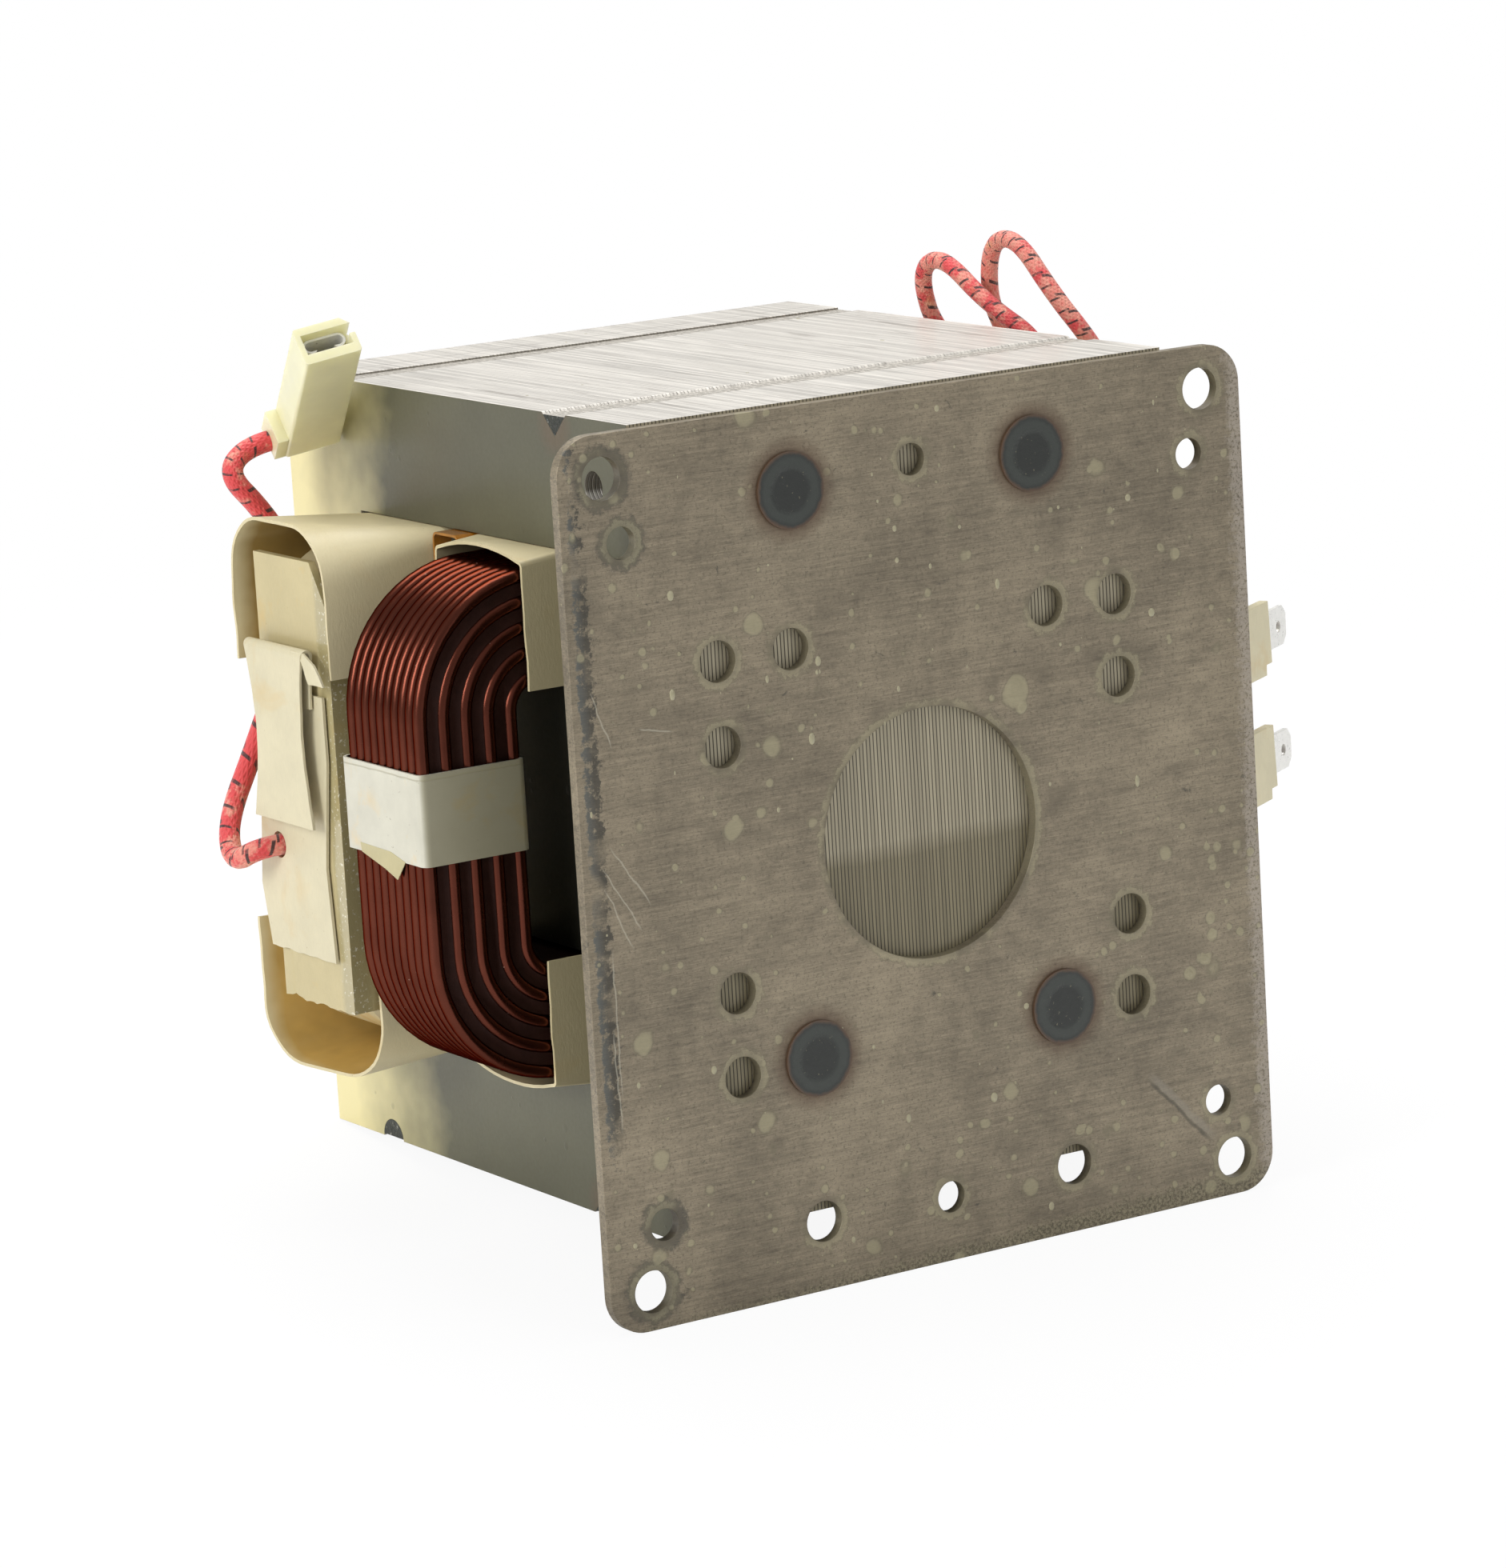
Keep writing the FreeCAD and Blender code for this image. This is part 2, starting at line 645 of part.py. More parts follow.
def lead_strip():
    """Flat strip of paper under the high-voltage lead, waisted, with a hole for it."""
    x = -COVER_X - SLACK
    outline = [
        (x, COVER_Y + STRIP_NEAR, STRIP_TOP_Z),
        (x, COVER_Y + STRIP_NEAR, STRIP_TOP_Z - STRIP_SHOULDER),
        (x, COVER_Y + STRIP_WAIST, STRIP_WAIST_Z),
        (x, COVER_Y + STRIP_WAIST - 2 * PAPER_T, STRIP_LOW_Z),
        (x, COVER_Y + STRIP_FAR - 2 * PAPER_T, STRIP_LOW_Z),
        (x, COVER_Y + STRIP_FAR + 2 * PAPER_T, STRIP_LOW_Z + STRIP_SHOULDER),
        (x, COVER_Y + FOLD_FAR, STRIP_TOP_Z),
    ]
    strip = face_of(outline).extrude(Vector(-PAPER_T, 0, 0))
    start = Vector(*LEAD_POINTS[0])
    way = Vector(*LEAD_POINTS[1]) - start
    hole = Part.makeCylinder(LEAD_D / 2 + LEAD_HOLE_GAP, way.Length, start, way)
    return strip.cut(hole)


def lead_fold():
    """Strip folded over at its top and tucked behind itself."""
    back = -COVER_X - SLACK - PAPER_T - SLACK
    front = back - FOLD_DEPTH
    r = FOLD_DEPTH / 2
    centre = (back + front) / 2
    top = FOLD_TOP_Z - r
    inner = r - PAPER_T
    y = COVER_Y + FOLD_NEAR

    def at(x, z):
        return Vector(x, y, z)

    edges = [
        Part.makeLine(at(front, FOLD_LOW_Z), at(front, top)),
        Part.Arc(at(front, top), at(centre, top + r), at(back, top)).toShape(),
        Part.makeLine(at(back, top), at(back, FOLD_BACK_Z)),
        Part.makeLine(at(back, FOLD_BACK_Z), at(back - PAPER_T, FOLD_BACK_Z)),
        Part.makeLine(at(back - PAPER_T, FOLD_BACK_Z), at(back - PAPER_T, top)),
        Part.Arc(at(back - PAPER_T, top), at(centre, top + inner), at(front + PAPER_T, top)).toShape(),
        Part.makeLine(at(front + PAPER_T, top), at(front + PAPER_T, FOLD_LOW_Z)),
        Part.makeLine(at(front + PAPER_T, FOLD_LOW_Z), at(front, FOLD_LOW_Z)),
    ]
    return Part.Face(Part.Wire(edges)).extrude(Vector(0, FOLD_FAR - FOLD_NEAR, 0))


# Flag housings: local x runs from the collar into the body, y to the mouth, z through it

def housing_frame(origin, along, mouth):
    """Placement of a flag housing from the directions of its lead and of its mouth."""
    x = Vector(*along).normalize()
    y = Vector(*mouth)
    y = (y - x * y.dot(x)).normalize()
    z = x.cross(y)
    rows = [(x.x, y.x, z.x, origin[0]), (x.y, y.y, z.y, origin[1]), (x.z, y.z, z.z, origin[2])]
    return Placement(Matrix(*rows[0], *rows[1], *rows[2], 0, 0, 0, 1))


def flag_housing():
    """Nylon housing whose lead comes in at the side, with an open mouth and a latch slot."""
    body = box(0, HOUSING_W, 0, HOUSING_L, -HOUSING_T, 0)
    long_edges = [e for e in body.Edges if abs(e.tangentAt(e.FirstParameter).y) > 0.9]
    corner = Vector(HOUSING_W, HOUSING_L / 2, -HOUSING_T)
    body = body.makeFillet(HOUSING_R, [e for e in long_edges if not e.CenterOfMass.isEqual(corner, 1e-6)])
    body = body.makeChamfer(HOUSING_CHAMFER, [e for e in body.Edges if e.CenterOfMass.isEqual(corner, 1e-6)])
    collar = box(-COLLAR_OUT, 0, 0, COLLAR_L, -HOUSING_T + COLLAR_SIDE, -COLLAR_SIDE)
    cavity_top = -HOUSING_FLOOR
    cavity = box(HOUSING_WALL, HOUSING_W - HOUSING_WALL, HOUSING_L - CAVITY_L, HOUSING_L + PAST,
                 cavity_top - CAVITY_T, cavity_top)
    latch = box(HOUSING_W - LATCH_W, HOUSING_W + PAST, HOUSING_L - LATCH_L, HOUSING_L + PAST,
                cavity_top - CAVITY_T, cavity_top - CAVITY_T / 2)
    return body.fuse(collar).cut(Part.makeCompound([cavity, latch])).removeSplitter()


def receptacle():
    """Folded brass receptacle lying on the far wall of the housing's cavity."""
    floor = -HOUSING_FLOOR - CAVITY_T
    y0 = HOUSING_L - CAVITY_L
    x0 = (HOUSING_W - RECEPTACLE_W) / 2
    r = RECEPTACLE_CURL
    t = RECEPTACLE_T
    base = box(x0 + r, x0 + RECEPTACLE_W - r, y0, y0 + RECEPTACLE_L, floor, floor + t)
    parts = [base]
    for centre, open_side in ((x0 + r, 1), (x0 + RECEPTACLE_W - r, -1)):
        place = Vector(centre, y0, floor + r)
        tube = Part.makeCylinder(r, RECEPTACLE_L, place, Vector(0, 1, 0))
        tube = tube.cut(Part.makeCylinder(r - t, RECEPTACLE_L, place, Vector(0, 1, 0)))
        x_a, x_b = sorted((centre, centre + open_side * 2 * r))
        gap = box(x_a, x_b, y0 - PAST, y0 + RECEPTACLE_L + PAST, floor + t, floor + 2 * r - t)
        parts.append(tube.cut(gap))
    return parts[0].multiFuse(parts[1:]).removeSplitter()


def collar_run(frame):
    """The last straight run of a lead, square to the collar's outer face."""
    places = (-COLLAR_OUT - COLLAR_RUN, -COLLAR_OUT)
    return [tuple(frame.multVec(Vector(x, COLLAR_L / 2, -HOUSING_T / 2))) for x in places]


def housings():
    """Frames of the three housings: the one in view and the two behind the core."""
    down, forward = (0, 0, -1), (0, -1, 0)
    return {
        "lead": housing_frame(HV_HOUSING_AT, HV_LEAD_WAY, HV_MOUTH_WAY),
        "filament_low": housing_frame(LOW_HOUSING_AT, down, forward),
        "filament_high": housing_frame(HIGH_HOUSING_AT, down, forward),
    }


# Leads

def lead_section(start, way, diameter):
    """A flat-sided section square to the lead, in which its round section just fits."""
    way = Vector(*way).normalize()
    side = way.cross(Vector(0, 1, 0)).normalize()
    up = side.cross(way)
    reach = diameter / 2 / math.cos(math.pi / LEAD_SIDES)
    points = []
    for number in range(LEAD_SIDES):
        turn = 2 * math.pi * number / LEAD_SIDES
        points.append(start + side * (reach * math.cos(turn)) + up * (reach * math.sin(turn)))
    return face_of(points)


def swept(points, section):
    """Carries a section along straight runs joined by arcs as large as the runs allow.

    Returns the solid, the length of its route and the arcs' radii.
    """
    pieces, radii, length = [], [], 0
    here = points[0]
    for before, corner, after in zip(points, points[1:], points[2:]):
        into = (corner - before).normalize()
        out = (after - corner).normalize()
        turn = into.getAngle(out)
        reach = 0.45 * min((corner - before).Length, (after - corner).Length)
        radius = reach / math.tan(turn / 2)
        start = corner - into * reach
        centre = corner + (out - into).normalize() * (radius / math.cos(turn / 2))
        axis = into.cross(out)
        pieces.append(section.extrude(start - here))
        section = section.translated(start - here)
        pieces.append(section.revolve(centre, axis, math.degrees(turn)))
        section = section.rotated(centre, axis, math.degrees(turn))
        length += (start - here).Length + radius * turn
        radii.append(radius)
        here = corner + out * reach
    pieces.append(section.extrude(points[-1] - here))
    length += (points[-1] - here).Length
    return pieces[0].multiFuse(pieces[1:]).removeSplitter(), length, radii


def lead(name, points, diameter):
    """One braided lead from its exit to the collar of its housing."""
    points = [Vector(*p) for p in points]
    section = lead_section(points[0], points[1] - points[0], diameter)
    tube, length, radii = swept(points, section)
    print(name, "length %.1f" % length, "volume ratio %.4f" % (tube.Volume / section.Area / length),
          "radii", " ".join("%.1f" % r for r in radii))
    return tube


# Mains tabs

def board_frame(z):
    """Placement of a tab board's arm: local x outwards along it, z up."""
    bend = Vector(BOARD_BEND_X, PRIMARY_Y - SLACK - BOARD_T, z)
    return Placement(bend, Rotation(Vector(0, 0, 1), BOARD_ANGLE))


def terminal_board(z):
    """Insulating board with a foot on the primary and a stepped arm that holds the tab."""
    low = -BOARD_H / 2
    arm_outline = [
        (0, 0, low - BOARD_STEP_H),
        (BOARD_ARM - BOARD_STEP_L, 0, low - BOARD_STEP_H),
        (BOARD_ARM - BOARD_STEP_L, 0, low),
        (BOARD_ARM, 0, low),
        (BOARD_ARM - BOARD_TAPER, 0, low + BOARD_H),
        (0, 0, low + BOARD_H),
    ]
    arm = face_of(arm_outline).extrude(Vector(0, BOARD_T, 0))
    slot = box(BOARD_ARM - TAB_IN, BOARD_ARM + PAST, (BOARD_T - TAB_T) / 2, (BOARD_T + TAB_T) / 2,
               -TAB_W / 2, TAB_W / 2)
    arm.Placement = board_frame(z)
    slot.Placement = board_frame(z).multiply(slot.Placement)
    y0 = PRIMARY_Y - SLACK - BOARD_T
    z0, z1 = z + low - BOARD_STEP_H, z + low + BOARD_H
    foot = box(BOARD_BEND_X - BOARD_FOOT, BOARD_BEND_X, y0, y0 + BOARD_T, z0, z1)
    bend = Vector(BOARD_BEND_X, y0, z0)
    knee = Part.makeCylinder(BOARD_T, z1 - z0, bend, Vector(0, 0, 1), BOARD_ANGLE)
    knee.rotate(Vector(BOARD_BEND_X, y0, 0), Vector(0, 0, 1), 90)
    return foot.multiFuse([arm, knee]).cut(slot).removeSplitter()


def mains_tab(z):
    """Flat male tab with a tapered tip and a detent hole, set in the board's arm."""
    y0 = (BOARD_T - TAB_T) / 2
    half = TAB_W / 2
    tip = BOARD_ARM + TAB_OUT
    outline = [
        (BOARD_ARM - TAB_IN, y0, -half),
        (tip - TAB_TIP, y0, -half),
        (tip, y0, -half + TAB_TIP),
        (tip, y0, half - TAB_TIP),
        (tip - TAB_TIP, y0, half),
        (BOARD_ARM - TAB_IN, y0, half),
    ]
    tab = face_of(outline).extrude(Vector(0, TAB_T, 0))
    place = Vector(BOARD_ARM + TAB_HOLE_OUT, y0 - PAST, 0)
    tab = tab.cut(Part.makeCylinder(TAB_HOLE_D / 2, TAB_T + 2 * PAST, place, Vector(0, 1, 0)))
    tab.Placement = board_frame(z)
    return tab


def build():
    """Every piece by the name of its node."""
    frames = housings()
    pieces = {"base_plate": base_plate()}
    for name, (x, z) in plug_sites().items():
        pieces[name] = plug_weld(x, z)
    pieces["core_i_stack"] = core_i_stack()
    pieces["core_e_stack"] = core_e_stack()
    pieces["weld_bead_seam_top"] = weld_bead(seam_groove(TOP), TOP)
    pieces["weld_bead_seam_low"] = weld_bead(seam_groove(LOW), LOW)
    pieces["weld_bead_back_top"] = weld_bead(back_groove(TOP), TOP)
    pieces["weld_bead_back_low"] = weld_bead(back_groove(LOW), LOW)
    pieces["primary_winding"] = primary_winding()
    pieces["primary_slot_paper_top"] = primary_slot_paper(TOP)
    pieces["primary_slot_paper_low"] = primary_slot_paper(LOW)
    pieces["primary_tape"] = primary_tape()
    pieces["shunt_sleeve_top"] = shunt_sleeve(TOP)
    pieces["shunt_sleeve_low"] = shunt_sleeve(LOW)
    pieces["magnetic_shunt_top"] = magnetic_shunt(TOP)
    pieces["magnetic_shunt_low"] = magnetic_shunt(LOW)
    pieces["secondary_winding"] = secondary_winding()
    pieces["secondary_slot_paper_top"] = secondary_slot_paper(TOP)
    pieces["secondary_slot_paper_low"] = secondary_slot_paper(LOW)
    pieces["secondary_cover_left"] = secondary_cover(LEFT)
    pieces["secondary_cover_right"] = secondary_cover(RIGHT)
    pieces["filament_winding"] = filament_winding()
    pieces["lead_strip"] = lead_strip()
    pieces["lead_fold"] = lead_fold()
    routes = {
        "lead": ("high_voltage_lead", LEAD_POINTS, LEAD_D),
        "filament_low": ("filament_lead_low", ARCH_LOW_POINTS, FILAMENT_LEAD_D),
        "filament_high": ("filament_lead_high", ARCH_HIGH_POINTS, FILAMENT_LEAD_D),
    }
    for key, (name, points, diameter) in routes.items():
        frame = frames[key]
        pieces[name] = lead(name, points + collar_run(frame), diameter)
        for kind, shape in (("housing", flag_housing()), ("receptacle", receptacle())):
            shape.Placement = frame
            pieces[name.replace("lead", kind)] = shape
    for name, z in (("high", TAB_HIGH_Z), ("low", TAB_LOW_Z)):
        pieces["terminal_board_" + name] = terminal_board(z)
        pieces["mains_tab_" + name] = mains_tab(z)
    return pieces


def main():
    os.makedirs("parts", exist_ok=True)
    for name, shape in build().items():
        if shape.ShapeType == "Compound" and len(shape.Solids) == 1:
            shape = shape.Solids[0]
        print("%-28s %s solids %d valid %s volume %.0f" % (
            name, shape.ShapeType, len(shape.Solids), shape.isValid(), shape.Volume))
        shape.exportStep("parts/%s.step" % name)


main()
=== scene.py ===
import math

import bmesh
import bpy
from bpy.props import FloatProperty, FloatVectorProperty, IntProperty, PointerProperty
from mathutils import Euler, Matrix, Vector, noise


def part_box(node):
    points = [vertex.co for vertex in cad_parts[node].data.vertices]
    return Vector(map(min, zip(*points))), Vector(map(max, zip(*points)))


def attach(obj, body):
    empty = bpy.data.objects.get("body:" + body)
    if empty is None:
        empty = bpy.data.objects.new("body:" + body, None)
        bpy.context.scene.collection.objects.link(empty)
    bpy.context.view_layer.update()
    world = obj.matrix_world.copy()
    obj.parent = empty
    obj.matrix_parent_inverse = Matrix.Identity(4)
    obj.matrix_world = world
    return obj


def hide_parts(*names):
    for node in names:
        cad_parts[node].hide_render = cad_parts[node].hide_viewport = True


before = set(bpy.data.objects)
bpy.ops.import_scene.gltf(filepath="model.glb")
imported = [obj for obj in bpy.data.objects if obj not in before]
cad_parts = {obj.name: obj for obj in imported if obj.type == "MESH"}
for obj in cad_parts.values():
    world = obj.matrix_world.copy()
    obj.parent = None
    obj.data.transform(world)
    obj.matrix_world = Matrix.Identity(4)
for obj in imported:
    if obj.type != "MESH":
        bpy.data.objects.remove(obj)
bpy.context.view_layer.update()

bl_info = {
    "name": "Microwave Transformer",
    "version": (1, 0, 0),
    "blender": (4, 5, 0),
    "location": "View3D > Sidebar > Transformer",
    "description": "Dresses the welded transformer: core, windings, papers, leads and stage",
    "category": "Object",
}

# Metres throughout. X runs along the plate, Y from the plate into the core, Z up the plate.
MM = 0.001

# The photograph's camera
CAMERA_PLACE = (-0.504306, -0.757420, 0.189169)
CAMERA_TURN = (78.7777, 3.4256, -32.6830)
CAMERA_LENS = 142.43
CAMERA_SENSOR = 36.0

# Sides of the transformer
LEFT, RIGHT = -1, 1
TOP, LOW = 1, -1


def linear(code):
    """The linear colour of a screen colour such as #8a8172."""
    values = [int(code[i:i + 2], 16) / 255 for i in (1, 3, 5)]
    return tuple(v / 12.92 if v <= 0.04045 else ((v + 0.055) / 1.055) ** 2.4 for v in values)


def colour_property(name, description, code):
    return FloatVectorProperty(name=name, description=description, subtype="COLOR",
                               size=3, min=0, max=1, default=linear(code))


def length_property(name, description, default):
    return FloatProperty(name=name, description=description, subtype="DISTANCE",
                         unit="LENGTH", precision=5, min=0, default=default)


def power_property(name, description, default):
    return FloatProperty(name=name, description=description, subtype="POWER",
                         unit="POWER", min=0, default=default)


# Sizes and colours that a user may change


class PlateLook(bpy.types.PropertyGroup):
    steel: colour_property("Steel", "Colour of the varnished plate", "#887d69")
    grime: colour_property("Grime", "Colour of the dirty patches", "#3e3d38")
    varnish: colour_property("Varnish", "Colour of the dried drips", "#a39c7e")
    burn: colour_property("Burn", "Colour of the heat ring round a plug weld", "#55402f")
    weld: colour_property("Weld", "Colour of the burnt weld metal", "#2c302c")
    rim: length_property("Rim", "Rounding of the plate's punched edges", 0.00018)
    halo: length_property("Halo", "How far the heat ring reaches past a plug weld", 0.0026)
    specks: IntProperty(name="Specks", description="Drips of varnish on the plate per square metre",
                        min=0, default=17000)


class CoreLook(bpy.types.PropertyGroup):
    face: colour_property("Flat lamination", "Colour of the outermost laminations", "#555441")
    edge: colour_property("Lamination edges", "Colour of the stack's cut edges", "#8d877b")
    # The top edges' colour is a painted highlight: the same cut edges, brighter where they face up
    top: colour_property("Top edges", "Colour of the bright cut edges on top", "#dbd6cd")
    pitch: length_property("Pitch", "Thickness of one lamination", 0.000635)
    specks: IntProperty(name="Specks", description="Blobs of varnish on the top per square metre",
                        min=0, default=9000)


class WindingLook(bpy.types.PropertyGroup):
    enamel: colour_property("Enamel", "Colour of the enamelled wire", "#5c3126")
    varnish: colour_property("Varnish", "Colour of the varnish between the wires", "#26130e")
    wire: length_property("Wire", "Diameter of the primary's wire", 0.00219)
    pitch: length_property("Layer pitch", "Distance between layers of the primary", 0.0019)
    layers: IntProperty(name="Layers", description="Layers of the primary", min=1, default=9)
    turns: IntProperty(name="Turns", description="Turns in each layer of the primary", min=2, default=10)


class PaperLook(bpy.types.PropertyGroup):
    paper: colour_property("Paper", "Colour of the stiff slot paper", "#d2c59c")
    soaked: colour_property("Soaked paper", "Colour of the paper where varnish has soaked in", "#c9a65c")
    wrap: colour_property("Wrapping paper", "Colour of the paper over the secondary", "#bfb184")
    strip: colour_property("Paper strips", "Colour of the loose paper strips", "#cfc6a6")
    tape: colour_property("Tape", "Colour of the tape band", "#c5c2b1")
    amber: colour_property("Amber sleeve", "Colour of the shunts' sleeves", "#a86c1c")
    board: colour_property("Board", "Colour of the tab boards", "#d6cca8")


class LeadLook(bpy.types.PropertyGroup):
    braid: colour_property("Braid", "Colour of the braided sleeve", "#dd4648")
    faded: colour_property("Faded braid", "Colour of the worn patches", "#e3a28c")
    tick: colour_property("Ticks", "Colour of the dark tracer yarn", "#2a1a1a")
    nylon: colour_property("Nylon", "Colour of the connector housings", "#ebe6bd")
    tin: colour_property("Tin", "Colour of the tinned terminals", "#f4f3ee")
    heavy: length_property("High-voltage lead", "Diameter of the high-voltage lead", 0.0033)
    light: length_property("Filament lead", "Diameter of a filament lead", 0.0028)


class StageLook(bpy.types.PropertyGroup):
    floor: colour_property("Floor", "Colour of the floor and backdrop", "#ffffff")
    ambient: FloatProperty(name="Ambient", description="Strength of the light from all round",
                           min=0, default=0.5)
    key: power_property("Key", "Power of the soft box on the left", 4.0)
    top: power_property("Top", "Power of the soft box above", 6.5)
    fill: power_property("Fill", "Power of the soft box in front", 1.2)



# Building node trees

FLOAT, VECTOR = "NodeSocketFloat", "NodeSocketVector"
WHOLE, MATERIAL = "NodeSocketInt", "NodeSocketMaterial"


class Value:
    """An output in a node tree. Arithmetic on it adds Math nodes."""

    def __init__(self, tree, socket):
        self.tree = tree
        self.socket = socket

    def __add__(self, other):
        return self.tree.math("ADD", self, other)

    def __sub__(self, other):
        return self.tree.math("SUBTRACT", self, other)

    def __rsub__(self, other):
        return self.tree.math("SUBTRACT", other, self)

    def __mul__(self, other):
        return self.tree.math("MULTIPLY", self, other)

    def __truediv__(self, other):
        return self.tree.math("DIVIDE", self, other)

    def __rtruediv__(self, other):
        return self.tree.math("DIVIDE", other, self)

    def __abs__(self):
        return self.tree.math("ABSOLUTE", self)

    def ramp(self, low, high, start=0.0, end=1.0):
        """Maps low to high onto start to end and clamps."""
        values = {0: self, 1: low, 2: high, 3: start, 4: end}
        return self.tree.node("ShaderNodeMapRange", values, clamp=True)[0]

    def blend(self, factor, other):
        """This colour with a share of another one over it."""
        return self.tree.mix(factor, self, other)


class Made:
    """A node in a tree. An index or a name picks one of its outputs."""

    def __init__(self, tree, node):
        self.tree = tree
        self.node = node
        self.inputs = node.inputs

    def __getitem__(self, key):
        return Value(self.tree, self.node.outputs[key])


class Tree:
    """Adds nodes to one shader or geometry tree and links them."""

    def __init__(self, tree, prefix="ShaderNode"):
        self.tree = tree
        self.prefix = prefix

    def node(self, kind, inputs=None, **settings):
        name = kind if kind.startswith(("ShaderNode", "GeometryNode", "FunctionNode")) else self.prefix + kind
        made = Made(self, self.tree.nodes.new(name))
        for key, value in settings.items():
            setattr(made.node, key, value)
        for key, value in (inputs or {}).items():
            self.feed(made.inputs[key], value)
        return made

    def feed(self, socket, value):
        if isinstance(value, Value):
            self.tree.links.new(value.socket, socket)
        elif socket.type == "RGBA":
            socket.default_value = (*value, 1)
        else:
            socket.default_value = value

    def math(self, operation, a, b=0.0, clamp=False):
        return self.node("ShaderNodeMath", {0: a, 1: b}, operation=operation, use_clamp=clamp)[0]

    def highest(self, *values):
        """The largest of several values."""
        best = values[0]
        for value in values[1:]:
            best = self.math("MAXIMUM", best, value)
        return best

    def lowest(self, *values):
        """The smallest of several values."""
        best = values[0]
        for value in values[1:]:
            best = self.math("MINIMUM", best, value)
        return best

    def vector(self, operation, a, b=(0, 0, 0)):
        made = self.node("ShaderNodeVectorMath", {0: a, 1: b}, operation=operation)
        return made["Value" if operation in ("DISTANCE", "LENGTH", "DOT_PRODUCT") else "Vector"]

    def mix(self, factor, a, b):
        return self.node("ShaderNodeMix", {0: factor, 6: a, 7: b}, data_type="RGBA")[2]

    def noise(self, place, scale, detail=3.0, rough=0.55, distortion=0.0):
        values = {"Vector": place, "Scale": scale, "Detail": detail, "Roughness": rough,
                  "Distortion": distortion}
        return self.node("ShaderNodeTexNoise", values)["Fac"]

    def stretched(self, place, along, turn=(0, 0, 0)):
        return self.node("ShaderNodeMapping", {"Vector": place, "Scale": along, "Rotation": turn})["Vector"]

    def place(self, x=0, y=0, z=0):
        return self.node("ShaderNodeCombineXYZ", {0: x, 1: y, 2: z})[0]

    def axes(self, place):
        made = self.node("ShaderNodeSeparateXYZ", {0: place})
        return made[0], made[1], made[2]

    def normal(self):
        """The three parts of the surface's own direction."""
        return self.axes(self.node("NewGeometry")["Normal"])

    def bump(self, height, depth):
        """A Bump node for a height from 0 to 1 that stands for a depth in metres."""
        return self.node("ShaderNodeBump", {"Height": height, "Distance": depth, "Strength": 1.0})["Normal"]

    def group(self, tree, inputs):
        return self.node("ShaderNodeGroup", inputs, node_tree=tree)


def millimetres(tree):
    """Object coordinates in millimetres."""
    place = tree.node("TexCoord")["Object"]
    return tree.node("VectorMath", {0: place, "Scale": 1 / MM}, operation="SCALE")[0]


def new_group(name, inputs, outputs):
    """An empty shader group; returns its tree, its inputs and a function that sets an output."""
    made = bpy.data.node_groups.new(name, "ShaderNodeTree")
    for label, kind, default in inputs:
        socket = made.interface.new_socket(name=label, in_out="INPUT", socket_type=kind)
        if default is not None:
            socket.default_value = default
    for label in outputs:
        made.interface.new_socket(name=label, in_out="OUTPUT", socket_type=FLOAT)
    tree = Tree(made)
    given = Made(tree, made.nodes.new("NodeGroupInput"))
    end = made.nodes.new("NodeGroupOutput")
    return tree, given, lambda label, value: tree.feed(end.inputs[label], value)


def once(make):
    """Keeps what a builder without arguments returned the first time."""
    kept = []

    def get():
        if not kept:
            kept.append(make())
        return kept[0]

    return get


# Shared effects


@once
def drips_group():
    """Dried drips and dots of varnish in two sizes."""
    tree, given, put = new_group(
        "Varnish drips",
        [("Place", VECTOR, None), ("Spacing", FLOAT, 7.0), ("Amount", FLOAT, 0.5)],
        ["Mask", "Height"])
    warp = tree.noise(given["Place"], 0.35, 2)
    place = tree.vector("ADD", given["Place"], tree.place(warp, 0, warp))
    large = tree.node("TexVoronoi", {"Vector": place, "Scale": 1.0 / given["Spacing"], "Randomness": 1.0})
    small = tree.node("TexVoronoi", {"Vector": place, "Scale": 2.7 / given["Spacing"], "Randomness": 1.0})
    patch = tree.noise(given["Place"], 0.045, 3, 0.6)
    lot = patch.ramp(0.62, 0.42, 0.0, 1.0)
    reach = given["Amount"] * 0.34 * lot
    dots = []
    for cells in (large, small):
        pick = cells["Color"].ramp(0.35, 0.9)
        size = reach * pick
        inner = size * 0.45
        gap = size - cells["Distance"]
        dots.append(tree.math("DIVIDE", gap, inner + 0.002, clamp=True))
    both = tree.highest(*dots)
    put("Mask", both)
    put("Height", tree.math("POWER", both, 0.6))
    return tree.tree


@once
def scratches_group():
    """Fine scratches in several directions, thinned by patches."""
    tree, given, put = new_group(
        "Scratches", [("Place", VECTOR, None), ("Amount", FLOAT, 0.5)], ["Mask"])
    lines = []
    for number, (turn, wide) in enumerate(((8, 1.0), (-24, 1.4), (63, 0.8), (-71, 1.2))):
        offset = tree.vector("ADD", given["Place"], (31.7 * number, 0, 17.3 * number))
        place = tree.stretched(offset, (0.028, 1.0, 1.1 * wide), (0, math.radians(turn), 0))
        line = tree.noise(place, 1.0, 2, 0.5).ramp(0.68, 0.73)
        patch = tree.noise(offset, 0.06, 2).ramp(0.55, 0.65)
        lines.append(line * patch)
    put("Mask", tree.math("MULTIPLY", tree.highest(*lines), given["Amount"], clamp=True))
    return tree.tree


@once
def laminations_group():
    """The cut edges of a stack of laminations whose thickness lies along X."""
    tree, given, put = new_group(
        "Lamination edges", [("Place", VECTOR, None), ("Pitch", FLOAT, 0.635)],
        ["Shade", "Groove"])
    count = tree.axes(given["Place"])[0] / given["Pitch"]
    sheet = tree.math("FLOOR", count)
    within = tree.math("FRACT", count)
    put("Groove", abs(within - 0.5).ramp(0.34, 0.5))
    put("Shade", tree.node("TexWhiteNoise", {"W": sheet}, noise_dimensions="1D")["Value"])
    return tree.tree


